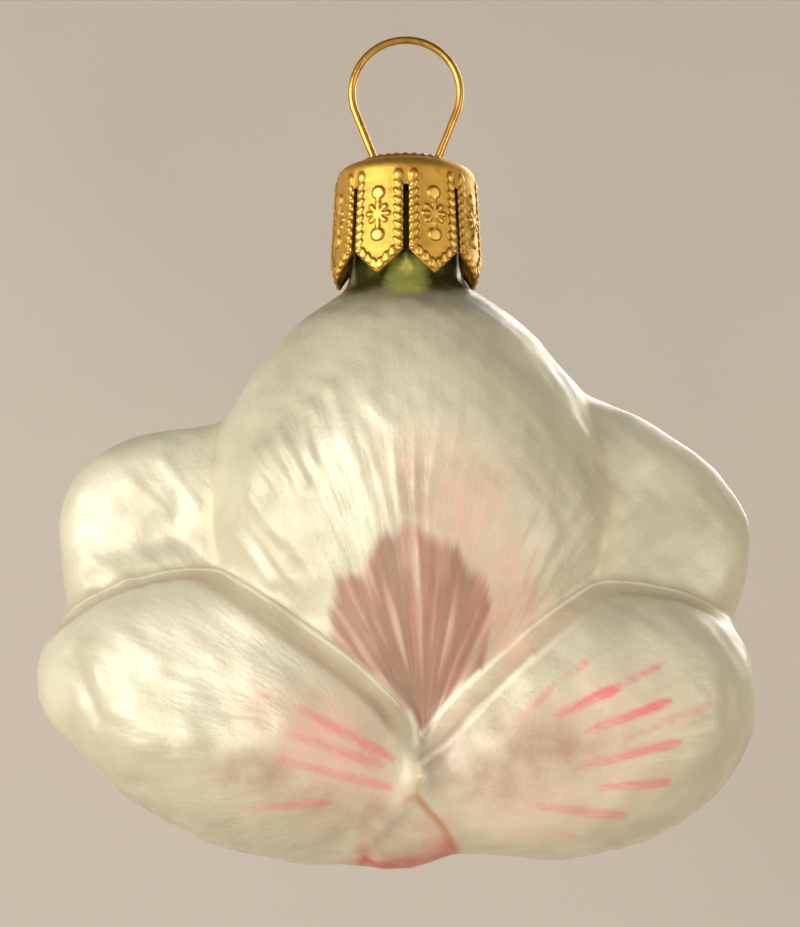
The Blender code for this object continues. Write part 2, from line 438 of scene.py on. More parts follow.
    def rays(
        self, turn: object, radius: object, around: float, outwards: float, seed: float, detail: float
    ) -> bpy.types.NodeSocket:
        """Noise drawn out along the rays from a point.

        Args:
            turn: Angle round the point.
            radius: Distance from the point in millimetres.
            around: Noise cells a radian.
            outwards: Noise cells a millimetre.
            seed: Place along the noise's third axis.
            detail: Octaves of the noise.

        Returns:
            The noise's output.
        """
        spread = self.vector(self.times(turn, around), self.times(radius, outwards), seed)
        return self.noise(spread, 1.0, detail)

    def mix(self, amount: object, one: object, other: object, blend: str = "MIX") -> bpy.types.NodeSocket:
        """Blend two colours by an amount from 0 to 1."""
        inputs = {0: amount, 6: one, 7: other}
        made = self.node("ShaderNodeMix", inputs, data_type="RGBA", blend_type=blend, clamp_factor=True)
        return made.outputs[2]

    def vector(self, x: object, y: object, z: object = 0.0) -> bpy.types.NodeSocket:
        """A vector put together from three numbers."""
        return self.node("ShaderNodeCombineXYZ", {0: x, 1: y, 2: z}).outputs[0]

    def split(self, vector: object) -> list[bpy.types.NodeSocket]:
        """The three numbers of a vector."""
        return list(self.node("ShaderNodeSeparateXYZ", {0: vector}).outputs)

    def bump(self, height: object, distance: float, under: object = None) -> bpy.types.NodeSocket:
        """A normal bent by a height field, with the distance in metres that a height of 1 stands for."""
        inputs = {"Height": height, "Distance": distance, "Strength": 1.0}
        if under is not None:
            inputs["Normal"] = under
        return self.node("ShaderNodeBump", inputs).outputs[0]


@dataclass(frozen=True)
class Pillow:
    """One swelling of the mould: an oval in the XZ plane, rounded off to the front and the back."""

    x: float
    z: float
    half_length: float
    half_width: float
    tilt_deg: float
    front: float
    back: float
    outline_power: float
    edge_power: float = 2.4
    taper: float = 0.0

    def oval(self, points: np.ndarray) -> np.ndarray:
        """How far out a point is in the XZ plane: the power mean of its scaled offsets, 1 on the rim."""
        tilt = np.radians(self.tilt_deg)
        across = points[..., 0] - self.x
        up = points[..., 2] - self.z
        along = (across * np.cos(tilt) + up * np.sin(tilt)) / self.half_length
        beside = (up * np.cos(tilt) - across * np.sin(tilt)) / self.half_width
        beside = beside / (1 + self.taper * np.clip(along, -1, 1))
        power = self.outline_power
        return (np.abs(along) ** power + np.abs(beside) ** power) ** (1 / power)

    def depth(self, points: np.ndarray) -> np.ndarray:
        """Distance outside: the power mean of oval and scaled y, less 1, times the shortest half-axis."""
        thick = np.abs(points[..., 1]) / np.where(points[..., 1] < 0, self.front, self.back)
        power = self.edge_power
        size = (self.oval(points) ** power + thick**power) ** (1 / power)
        return (size - 1) * min(self.half_length, self.half_width, self.front, self.back)


class Wash(Enum):
    """Soft thin washes of the painting, one of them carrying painted shade, and places of painted highlight
    and painted shade on the lacquer.
    """

    PEACH = "peach"
    TAUPE = "taupe_and_shade"
    PEARL = "painted_highlight"
    SHADE = "shade"


class Lobe(Enum):
    """The mould's swellings that creases part from each other."""

    TOP = "top_petal"
    LEFT_SEPAL = "left_sepal"
    RIGHT_SEPAL = "right_sepal"
    LEFT_PETAL = "left_petal"
    RIGHT_PETAL = "right_petal"
    LIP = "lip"


@dataclass(frozen=True)
class Wrinkle:
    """A short raised or sunk line on the front of the glass, between two pixels of the photograph."""

    start: Pixel
    end: Pixel
    depth_y: float
    half_width: float
    height: float

    def relief(self, points: np.ndarray) -> np.ndarray:
        """Height at each point: a bell curve of its XZ distance from the line, which has round ends."""
        away = segment_distance(points, self.start, self.end, self.depth_y)[0]
        return self.height * bell(away, 0, self.half_width)


@dataclass(frozen=True)
class Dish:
    """A broad oval hollow on the front of the glass, whose middle is a pixel of the photograph."""

    middle: Pixel
    depth_y: float
    half_x: float
    half_z: float
    depth: float
    margin: float

    def relief(self, points: np.ndarray) -> np.ndarray:
        """Depth at each point: 1 less the squared, scaled distance from the middle, to the power of 1.5."""
        x, z = VIEW.on_front([self.middle], self.depth_y)[0]
        spread = ((points[..., 0] - x) / self.half_x) ** 2 + ((points[..., 2] - z) / self.half_z) ** 2
        return self.depth * np.clip(1 - spread, 0, 1) ** 1.5 * smooth_step(points[..., 1], -1.0, -3.0)


@dataclass(frozen=True)
class Cloud:
    """One soft spot of a wash, an oval in the XZ plane whose middle is a pixel of the photograph."""

    depth_y: float
    middle: Pixel
    half_x: float
    half_z: float
    amount: float

    def cover(self, points: np.ndarray, power: float) -> np.ndarray:
        """Amount at each point: e to the minus power of the squared, scaled distance from the middle."""
        x, z = VIEW.on_front([self.middle], self.depth_y)[0]
        spread = ((points[:, 0] - x) / self.half_x) ** 2 + ((points[:, 2] - z) / self.half_z) ** 2
        return self.amount * np.exp(-(spread**power))


@dataclass(frozen=True)
class Stroke:
    """One stroke of the painter's brush, between two pixels of the photograph."""

    start: Pixel
    end: Pixel
    half_width: float
    strength: float


def segment_distance(
    points: np.ndarray, start: Pixel, end: Pixel, depth_y: float
) -> tuple[np.ndarray, np.ndarray]:
    """XZ distance from points to a line between two pixels that are carried onto an upright plane.

    Args:
        points: Points in millimetres.
        start: Pixel at the line's start.
        end: Pixel at its end.
        depth_y: Depth of the plane.

    Returns:
        The distance, and the share of the way from start to end, both one value a point.
    """
    first, last = VIEW.on_front([start, end], depth_y)
    run = last - first
    offset = points[..., [0, 2]] - first
    share = np.clip(offset @ run / (run @ run), 0, 1)
    return np.linalg.norm(offset - share[..., None] * run, axis=-1), share


@dataclass(frozen=True)
class GlassBlossom:
    """The blown glass: swellings merged into one skin, with dishes, ribs and wrinkles from the mould."""

    wall: float = 0.85
    neck_radius: float = 5.0
    neck_top: float = -12.25
    neck_foot: float = -21.8
    crease_softness: float = 0.50
    lip_softness: float = 0.85
    tip_softness: float = 1.3
    crease_overlap: float = 0.3
    columns: int = 440
    neck_rows: int = 12
    shoulder_rows: int = 36
    body_rows: int = 134
    inner_row_step: int = 8
    longest_ray: float = 40.0
    halvings: int = 20
    spine_centre: float = -52.0
    spine_reach: float = 10.0
    spine_spread: float = 12.0
    front_crowding: float = 0.45
    shoulder_turn_deg: float = 42.0
    throat: tuple[float, float] = (1.6, -63.6)
    veins: int = 96
    vein_height: float = 0.10
    vein_half_width: float = 0.30
    share_softness: float = 0.25
    coarse_lump: float = 0.07
    fine_lump: float = 0.03
    lip_edge_height: float = 0.22
    lip_hollow: float = 0.40

    def pillows(self) -> dict[str, Pillow]:
        """The mould's swellings, in millimetres."""
        return {
            "top_petal": Pillow(0.4, -44.2, 18.6, 22.6, 0, 14.5, 13.0, 1.78, 2.2),
            "left_sepal": Pillow(-19.5, -47.2, 11.2, 11.6, 10.5, 6.3, 8.5, 2.7),
            "right_sepal": Pillow(15.25, -49.3, 13.6, 15.6, -34, 7.0, 8.5, 2.7),
            "left_petal": Pillow(-13.4, -61.2, 18.0, 11.6, -22, 15.0, 12.0, 2.1, 2.6),
            "right_petal": Pillow(14.6, -62.3, 16.9, 11.4, 22.8, 15.0, 12.0, 1.9, 2.6, 0.18),
            "left_tip": Pillow(-28.7, -58.5, 3.4, 4.3, 15, 5.2, 4.8, 2.2, 2.2),
            "lip": Pillow(-0.3, -70.4, 3.9, 4.8, -84, 10.3, 7.0, 1.7, 2.6, 0.35),
            "column": Pillow(1.35, -66.1, 1.0, 0.8, 90, 11.9, 6.0, 2.8),
            "throat": Pillow(1.0, -66.0, 3.4, 3.8, 90, 10.6, 6.0, 2.2),
            "core": Pillow(0.2, -60.5, 16.0, 11.0, 0, 9.6, 9.5, 2.2),
        }

    def group_depths(self, points: np.ndarray) -> dict[Lobe, np.ndarray]:
        """Distance outside each swelling with creases of its own; the left tip counts to its petal."""
        pillows = self.pillows()
        depths = {lobe: pillows[lobe.value].depth(points) for lobe in Lobe}
        depths[Lobe.LEFT_PETAL] = np.minimum(depths[Lobe.LEFT_PETAL], pillows["left_tip"].depth(points))
        return depths

    def depth(self, points: np.ndarray) -> np.ndarray:
        """Distance outside the blossom: all swellings and the neck, softly merged.

        The left petal's tip is merged most softly, then the lower petals with lip and throat, then the rest.

        Args:
            points: Points in millimetres.

        Returns:
            Millimetres, negative inside.
        """
        pillows = self.pillows()
        neck = np.hypot(points[..., 0], points[..., 1]) - self.neck_radius
        neck = np.maximum(neck, pillows["top_petal"].z - points[..., 2])
        depths = {name: pillow.depth(points) for name, pillow in pillows.items()}
        tipped = [depths.pop(name) for name in ("left_petal", "left_tip")]
        lower = [depths.pop(name) for name in ("right_petal", "lip", "throat")]
        lower = soft_union([soft_union(tipped, self.tip_softness), *lower], self.lip_softness)
        return soft_union([*depths.values(), lower, neck], self.crease_softness)

    def ray_rows(self) -> tuple[np.ndarray, np.ndarray, np.ndarray]:
        """Rays from an upright spine: level in the neck, tipping up at the shoulder, then turning downwards.

        Returns:
            Height, rise angle and sideways spread of the start points, one value a row.
        """
        join = np.radians(self.shoulder_turn_deg)
        turn = np.linspace(join, np.pi, self.body_rows)
        step = np.linspace(0, 1, self.shoulder_rows, endpoint=False)
        neck = np.linspace(self.neck_top, self.neck_foot, self.neck_rows, endpoint=False)
        drop = self.spine_centre + self.spine_reach * np.cos(join) - self.neck_foot
        shoulder_rise = (np.pi / 2 - join) * (1 - (1 - step) ** 2)
        shoulder_spread = self.spine_spread * np.sin(join) * step**2 * (3 - 2 * step)
        body = self.spine_centre + self.spine_reach * np.cos(turn)
        heights = np.concatenate([neck, self.neck_foot + drop * step**1.15, body])
        rises = np.concatenate([0 * neck, shoulder_rise, np.pi / 2 - turn])
        spreads = np.concatenate([0 * neck, shoulder_spread, self.spine_spread * np.sin(turn)])
        return heights[:, None], rises[:, None], spreads[:, None]

    def skin(self, level: float) -> np.ndarray:
        """Grid on the surface that lies a level outside the blossom, found by halving a stretch of each ray.

        Args:
            level: Millimetres outside the blossom, negative inside the glass.

        Returns:
            Rows of points from the rim to the bottom, closed along their columns.
        """
        heights, rises, spreads = self.ray_rows()
        angle = np.linspace(0, 2 * np.pi, self.columns, endpoint=False)
        angle = (angle - self.front_crowding * np.sin(angle))[None]
        flat = np.zeros_like(heights * angle)
        start = np.stack([spreads * np.sin(angle), flat, heights + flat], axis=-1)
        level_reach = np.cos(rises)
        aim = [level_reach * np.sin(angle), -level_reach * np.cos(angle), np.sin(rises) + flat]
        aim = np.stack(aim, axis=-1)
        near = flat.copy()
        far = flat + self.longest_ray
        for _ in range(self.halvings):
            middle = (near + far) / 2
            inside = self.depth(start + aim * middle[..., None]) < level
            near = np.where(inside, middle, near)
            far = np.where(inside, far, middle)
        return start + aim * near[..., None]

    def crease_distance(self, points: np.ndarray, one: Lobe, others: list[Lobe]) -> np.ndarray:
        """Distance to the crease where one swelling meets others, negative where another is nearer.

        The crease is where the difference of the two depths changes sign between neighbours on the grid, at
        the share of the step where it is nought.

        Args:
            points: Grid of points on the skin.
            one: The swelling on one side.
            others: The swellings on the other side.

        Returns:
            Millimetres to the nearest point of the crease, one value a point.
        """
        depths = self.group_depths(points)
        mine = depths[one]
        theirs = np.min([depths[lobe] for lobe in others], axis=0)
        rest = [depths[lobe] for lobe in Lobe if lobe is not one and lobe not in others]
        shown = np.minimum(mine, theirs) < np.min(rest, axis=0) + self.crease_overlap
        gap = mine - theirs
        found = []
        for axis in (0, 1):
            after, next_gap = np.roll(points, -1, axis), np.roll(gap, -1, axis)
            crossing = (gap * next_gap <= 0) & (gap != next_gap) & shown
            crossing[-1] &= axis == 1
            share = (gap[crossing] / (gap[crossing] - next_gap[crossing]))[:, None]
            found.append(points[crossing] * (1 - share) + after[crossing] * share)
        crease = np.concatenate(found)
        nearest = [np.sqrt(((row[:, None] - crease[None]) ** 2).sum(-1).min(1)) for row in points]
        return np.where(mine < theirs, 1, -1) * np.array(nearest)

    def dishes(self) -> dict[Lobe, Dish]:
        """Broad hollows of the petals and sepals, centred on pixels of the photograph."""
        return {
            Lobe.LEFT_PETAL: Dish((205, 662), -13.0, 9.5, 8.0, 1.55, 4.4),
            Lobe.RIGHT_PETAL: Dish((600, 705), -14.0, 10.0, 8.0, 0.55, 5.0),
            Lobe.LEFT_SEPAL: Dish((143, 530), -6.0, 8.0, 6.5, 0.95, 3.0),
            Lobe.RIGHT_SEPAL: Dish((680, 520), -6.0, 8.0, 7.0, 0.60, 3.0),
        }

    def wrinkles(self) -> list[Wrinkle]:
        """Single folds of the mould that the light picks out."""
        top, sepal, petal, tip = -11.5, -6.6, -13.5, -6.0
        return [
            Wrinkle((235, 533), (272, 582), top, 0.60, 0.22),
            Wrinkle((248, 494), (283, 540), top, 0.55, 0.22),
            Wrinkle((252, 448), (284, 500), top, 0.40, 0.17),
            Wrinkle((266, 446), (290, 487), top, 0.36, 0.13),
            Wrinkle((279, 430), (306, 484), top, 0.42, 0.18),
            Wrinkle((304, 425), (314, 466), top, 0.36, 0.15),
            Wrinkle((311, 405), (328, 434), top, 0.60, 0.18),
            Wrinkle((330, 388), (362, 474), top, 0.65, 0.20),
            Wrinkle((371, 400), (386, 425), top, 0.80, 0.16),
            Wrinkle((399, 430), (424, 412), top, 0.70, 0.16),
            Wrinkle((160, 455), (196, 507), sepal, 0.45, 0.20),
            Wrinkle((124, 474), (165, 512), sepal, 0.45, 0.17),
            Wrinkle((74, 551), (131, 580), sepal, 0.36, 0.15),
            Wrinkle((88, 575), (128, 582), sepal, 0.32, 0.18),
            Wrinkle((88, 584), (104, 587), sepal, 0.40, -0.20),
            Wrinkle((145, 606), (215, 648), petal, 0.40, 0.12),
            Wrinkle((118, 632), (160, 660), petal, 0.45, 0.12),
            Wrinkle((150, 665), (205, 700), petal, 0.50, 0.10),
            Wrinkle((73, 655), (104, 720), tip, 0.60, -0.42),
            Wrinkle((92, 648), (116, 694), tip, 0.60, 0.20),
            Wrinkle((104, 720), (168, 752), petal, 0.50, -0.18),
            Wrinkle((136, 745), (205, 765), petal, 0.60, 0.12),
        ]

    def relief(self, points: np.ndarray) -> tuple[np.ndarray, dict[str, np.ndarray]]:
        """Height of everything that the mould presses into the skin.

        Args:
            points: Grid of points on the plain skin.

        Returns:
            The height in millimetres along the normal, and the distances to the creases by name.
        """
        depths = self.group_depths(points)
        lowest = np.min([depths[lobe] for lobe in Lobe], axis=0)
        share = {lobe: np.exp(-(depths[lobe] - lowest) / self.share_softness) for lobe in Lobe}
        total = np.sum([share[lobe] for lobe in Lobe], axis=0)
        share = {lobe: share[lobe] / total for lobe in Lobe}
        upper = [Lobe.TOP, Lobe.LEFT_SEPAL, Lobe.RIGHT_SEPAL]
        creases = {
            "left_rim": self.crease_distance(points, Lobe.LEFT_PETAL, [*upper, Lobe.RIGHT_PETAL]),
            "right_rim": self.crease_distance(points, Lobe.RIGHT_PETAL, [*upper, Lobe.LEFT_PETAL]),
            "sepal_foot": self.crease_distance(points, Lobe.TOP, upper[1:]),
            "lip_edge": self.crease_distance(points, Lobe.LIP, [Lobe.LEFT_PETAL, Lobe.RIGHT_PETAL]),
        }
        rim = np.min([np.abs(creases[name]) for name in (*RIMS, "sepal_foot")], axis=0)
        height = np.zeros(points.shape[:-1])
        for lobe, dish in self.dishes().items():
            height -= share[lobe] * dish.relief(points) * smooth_step(rim, 0.4, dish.margin)
        off_edge = smooth_step(np.abs(creases["lip_edge"]), 0.2, 1.6)
        height += share[Lobe.LIP] * self.lip_relief(points) * off_edge
        height += self.vein_relief(points) * (1 - share[Lobe.LIP]) * smooth_step(rim, 0.8, 3.2)
        coarse, fine = soft_lumps(points, 7.0, 14, 3), soft_lumps(points, 2.6, 14, 5)
        height += self.coarse_lump * coarse + self.fine_lump * fine
        front = smooth_step(points[..., 1], -1.0, -3.5)
        height += front * sum(wrinkle.relief(points) for wrinkle in self.wrinkles())
        return height * smooth_step(points[..., 2], -23.0, -27.0), creases

    def lip_relief(self, points: np.ndarray) -> np.ndarray:
        """The lip's raised edge, a bell curve of the way out, less a hollow that deepens inwards."""
        oval = self.pillows()["lip"].oval(points)
        return self.lip_edge_height * bell(oval, 0.86, 0.14) - self.lip_hollow * smooth_step(oval, 0.8, 0.1)

    def vein_relief(self, points: np.ndarray) -> np.ndarray:
        """Fine ribs that run out from the throat: a bell curve of the distance across each turned line."""
        across = points[..., 0] - self.throat[0]
        up = points[..., 2] - self.throat[1]
        radius = np.hypot(across, up)
        angle = np.arctan2(across, up)
        wobble = 0.5 * soft_lumps(points, 16.0, 8, 11)
        turns = angle * self.veins / (2 * np.pi) + wobble
        beside = np.abs(turns - np.round(turns)) * radius * 2 * np.pi / self.veins
        uneven = np.clip(0.45 + 0.6 * soft_lumps(points, 9.0, 12, 21), 0.05, 1.2)
        return self.vein_height * uneven * bell(beside, 0, self.vein_half_width) * self.vein_reach(radius)

    def vein_reach(self, radius: np.ndarray) -> np.ndarray:
        """How strong the ribs are at a distance from the throat: none near it, most at 17 mm, then faint."""
        return smooth_step(radius, 9.0, 17.0) * (1 - 0.7 * smooth_step(radius, 21.0, 32.0))

    def build(self) -> bpy.types.Object:
        """Make the closed shell: outer skin, flat rim at the neck's top, and inner skin pressed alike."""
        outer = self.skin(0.0)
        height, creases = self.relief(outer)
        pressed = grid_normals(outer) * height[..., None]
        outer = outer + pressed
        inner = self.skin(-self.wall) + pressed
        inner = np.concatenate([inner[: self.neck_rows], inner[self.neck_rows :: self.inner_row_step]])
        outer_rings, inner_rings = outer[:-1], inner[:-1]
        outer_count, inner_count = len(outer_rings) * self.columns, len(inner_rings) * self.columns
        first_inner = outer_count + 1
        last_inner = first_inner + inner_count
        points = np.concatenate(
            [
                outer_rings.reshape(-1, 3),
                outer[-1].mean(axis=0)[None],
                inner_rings.reshape(-1, 3),
                inner[-1].mean(axis=0)[None],
            ]
        )
        ring = np.arange(self.columns)
        faces = [
            grid_quads(len(outer_rings), self.columns, 0, True, True),
            grid_quads(len(inner_rings), self.columns, first_inner, True, False),
            strip_quads(ring, first_inner + ring, True),
            fan_triangles(outer_count - self.columns + ring, outer_count),
            fan_triangles(last_inner - self.columns + ring, last_inner)[:, ::-1],
        ]
        piece = add_mesh("pearl_glass_blossom", points, faces)
        BlossomPaint(self).apply(piece, outer, creases, len(points))
        return piece


@dataclass(frozen=True)
class BlossomPaint:
    """The hand painting of the blossom's front, with painted highlight and painted shade, kept as numbers at
    the skin's points for the material.
    """

    glass: GlassBlossom
    right_depth: float = -14.0
    left_depth: float = -13.5
    edge_reach: float = 2.0
    fold_width: float = 0.6
    far_from_crease: float = -9.0
    corner_rounding: int = 24

    def strokes(self) -> list[Stroke]:
        """Pink brush strokes on the two lower petals."""
        return [
            Stroke((520, 718), (554, 686), 0.36, 0.45),
            Stroke((562, 680), (589, 659), 0.30, 0.60),
            Stroke((557, 715), (619, 687), 0.48, 1.00),
            Stroke((625, 683), (664, 663), 0.34, 0.80),
            Stroke((587, 731), (670, 701), 0.44, 0.95),
            Stroke((622, 740), (712, 705), 0.34, 0.50),
            Stroke((578, 767), (682, 741), 0.44, 0.80),
            Stroke((598, 788), (670, 782), 0.40, 0.80),
            Stroke((539, 807), (627, 817), 0.46, 0.60),
            Stroke((552, 836), (581, 836), 0.40, 0.25),
            Stroke((298, 707), (392, 758), 0.44, 0.72),
            Stroke((288, 733), (381, 765), 0.44, 0.52),
            Stroke((278, 759), (390, 788), 0.42, 0.55),
            Stroke((242, 811), (329, 802), 0.34, 0.55),
            Stroke((257, 693), (270, 696), 0.30, 0.60),
        ]

    def apply(
        self, piece: bpy.types.Object, outer: np.ndarray, creases: dict[str, np.ndarray], count: int
    ) -> None:
        """Work out the paint at every point of the outer skin, and store it with none on the inner skin.

        Args:
            piece: The glass piece.
            outer: Grid of points on the outer skin.
            creases: Distances to the creases by name.
            count: Number of points in the whole mesh.
        """
        points = outer[:-1].reshape(-1, 3)
        front = smooth_step(points[:, 1], -2.0, -5.0)
        edge, strength = self.stroke_field(points)
        near = {name: signed[:-1].ravel() for name, signed in creases.items()}
        fold = np.min([np.abs(near[name]) for name in (*RIMS, "sepal_foot")], axis=0)
        values = {
            "edge": np.where(front > 0.5, edge, -self.edge_reach),
            "strength": strength,
            "fan": self.fan(points) * front,
            "red": self.lip_red(points, near["lip_edge"]),
            # Painted shade and pooled lacquer along the creases.
            "fold": np.exp(-fold / self.fold_width),
            "front": front,
            "lip_edge": near["lip_edge"],
        }
        values.update({name: rounded(creases[name], self.corner_rounding)[:-1].ravel() for name in RIMS})
        values.update({wash.value: self.clouds(points, wash) * front for wash in Wash})
        far = self.far_from_crease
        rest = {"edge": -self.edge_reach, "left_rim": far, "right_rim": far, "lip_edge": far}
        inner = np.ones(count - len(points))
        for name, channels in PAINT_CHANNELS.items():
            whole = [np.concatenate([values[channel], rest.get(channel, 0) * inner]) for channel in channels]
            add_colour_attribute(piece, name, whole)

    def stroke_field(self, points: np.ndarray) -> tuple[np.ndarray, np.ndarray]:
        """How far a point lies inside the nearest stroke, negative outside it, and that stroke's strength.

        A stroke widens with the root of the share of the way along it, and narrows again at its end.

        Args:
            points: Points in millimetres.

        Returns:
            Distance and strength, one value a point.
        """
        edge = np.full(len(points), -self.edge_reach)
        strength = np.zeros(len(points))
        for stroke in self.strokes():
            depth = self.left_depth if stroke.start[0] < VIEW.width_px / 2 else self.right_depth
            away, share = segment_distance(points, stroke.start, stroke.end, depth)
            width = (0.50 + 0.50 * np.sqrt(share)) * (1 - 0.4 * smooth_step(share, 0.85, 1))
            inside = stroke.half_width * width - away
            strength = np.where(inside > edge, stroke.strength * (0.55 + 0.45 * share), strength)
            edge = np.maximum(edge, inside)
        return edge, strength

    def polar(self, points: np.ndarray) -> tuple[np.ndarray, np.ndarray]:
        """Distance from the throat in the XZ plane, and the turn in degrees from straight up towards +X."""
        across = points[:, 0] - self.glass.throat[0]
        up = points[:, 2] - self.glass.throat[1]
        return np.hypot(across, up), np.degrees(np.arctan2(across, up))

    def fan(self, points: np.ndarray) -> np.ndarray:
        """Amount of rose-brown in the fan over the throat; its reach changes with the turn from upright."""
        radius, turn = self.polar(points)
        turns = [-62, -50, -45, -33, -28, -20, -13, -4, 3, 7, 14, 20, 27, 33, 48]
        reaches = [5.2, 8.8, 11.4, 14.8, 16.2, 15.6, 18.0, 18.6, 17.2, 17.4, 15.4, 15.2, 12.6, 9.8, 4.8]
        reach = np.interp(turn, turns, reaches)
        return smooth_step(radius, reach + 1.3, reach - 1.9) * smooth_step(radius, 0.4, 1.6)

    def spots(self) -> dict[Wash, list[Cloud]]:
        """The soft spots of each wash."""
        top, left, right = -12.0, self.left_depth, self.right_depth
        sepal, lip = -6.6, -10.0
        return {
            Wash.PEACH: [
                Cloud(top, (458, 515), 4.4, 5.4, 0.80),
                Cloud(top, (430, 470), 4.6, 3.4, 0.45),
                Cloud(top, (505, 600), 3.2, 5.2, 0.95),
                Cloud(top, (437, 640), 3.2, 6.0, 0.60),
                Cloud(lip, (432, 840), 2.4, 2.4, 0.80),
                Cloud(left, (322, 742), 4.4, 3.9, 1.00),
                Cloud(left, (262, 712), 2.6, 2.0, 0.50),
                Cloud(left, (350, 790), 4.5, 2.6, 0.60),
                Cloud(right, (560, 735), 6.0, 3.2, 0.70),
                Cloud(right, (610, 720), 5.0, 4.2, 0.45),
                Cloud(right, (530, 800), 6.5, 3.2, 0.60),
                Cloud(right, (610, 770), 5.5, 3.5, 0.40),
            ],
            # A brown wash of the painting, with painted shade in the throat, under the petals' edges and on
            # the lip.
            Wash.TAUPE: [
                Cloud(top, (414, 496), 1.5, 2.6, 0.50),
                Cloud(top, (410, 694), 1.6, 2.0, 0.90),
                Cloud(top, (346, 625), 1.2, 1.4, 0.50),
                Cloud(top, (290, 586), 2.2, 2.8, 0.40),
                Cloud(sepal, (192, 543), 0.7, 1.2, 0.35),
                Cloud(left, (255, 774), 4.2, 2.0, 0.75),
                Cloud(left, (190, 750), 4.2, 1.1, 0.45),
                Cloud(left, (300, 800), 4.6, 1.8, 0.55),
                Cloud(left, (345, 815), 3.4, 2.4, 0.45),
                Cloud(right, (540, 752), 5.2, 2.6, 0.75),
                Cloud(right, (490, 775), 5.0, 3.0, 0.70),
                Cloud(right, (452, 752), 2.4, 2.2, 0.70),
                Cloud(right, (510, 730), 3.0, 2.2, 0.55),
                Cloud(lip, (374, 826), 2.0, 2.8, 0.75),
                Cloud(lip, (405, 838), 3.6, 2.6, 0.45),
                Cloud(left, (372, 735), 1.3, 3.2, 0.45),
                Cloud(right, (428, 748), 1.0, 1.8, 0.45),
            ],
            # Painted highlight: lighter cream where the lamp's sheen falls on glass turned towards it.
            Wash.PEARL: [
                Cloud(left, (190, 650), 6.0, 6.6, 0.72),
                Cloud(left, (225, 610), 4.0, 3.0, 0.60),
                Cloud(sepal, (155, 455), 6.0, 2.6, 0.55),
                Cloud(-5.0, (62, 690), 1.7, 2.2, 0.35),
                Cloud(top, (380, 425), 6.0, 4.5, 0.40),
                Cloud(right, (514, 706), 1.2, 2.6, 0.55),
            ],
            # Painted shade: greyer places where the glass turns up, down or away from the lamp.
            Wash.SHADE: [
                Cloud(-9.0, (400, 305), 9.0, 3.8, 0.50),
                Cloud(top, (315, 365), 4.5, 5.5, 0.45),
                Cloud(top, (275, 455), 3.6, 4.6, 0.55),
                Cloud(left, (120, 765), 6.0, 3.0, 0.30),
                Cloud(left, (200, 812), 6.5, 2.4, 0.30),
                Cloud(-6.0, (690, 520), 4.0, 5.0, 0.35),
            ],
        }

    def clouds(self, points: np.ndarray, wash: Wash) -> np.ndarray:
        """Amount of one soft wash at each point: the greatest of its spots.

        The peach and taupe washes are flatter in the middle than the plain bells of the painted highlight
        and painted shade.

        Args:
            points: Points in millimetres.
            wash: Which wash.

        Returns:
            One value a point.
        """
        power = 1.5 if wash in (Wash.PEACH, Wash.TAUPE) else 1.0
        return np.max([spot.cover(points, power) for spot in self.spots()[wash]], axis=0)

    def lip_red(self, points: np.ndarray, inside: np.ndarray) -> np.ndarray:
        """Amount of red on the lip: in its lower edge, most on the right, and thinly under the petals' ends.

        Args:
            points: Points in millimetres.
            inside: Distance to the lip's crease, negative outside the lip.

        Returns:
            One value a point, from 0 to 1.
        """
        x, z = points[:, 0], points[:, 2]
        oval = self.glass.pillows()["lip"].oval(points)
        low = smooth_step(z - 0.30 * (x - 1.0), -70.6, -73.0)
        own = 0.45 * smooth_step(oval, 0.50, 0.95) + 0.55 * smooth_step(oval, 0.88, 0.99)
        own *= smooth_step(inside, -0.5, 0.3)
        under = 0.45 * smooth_step(z, -72.6, -74.0) * smooth_step(np.abs(x - 0.5), 8.0, 4.0)
        crack = 0.35 * bell(inside, 0, 0.7) * smooth_step(z, -71.4, -72.6)
        return np.clip(own * low + under + crack, 0, 1)


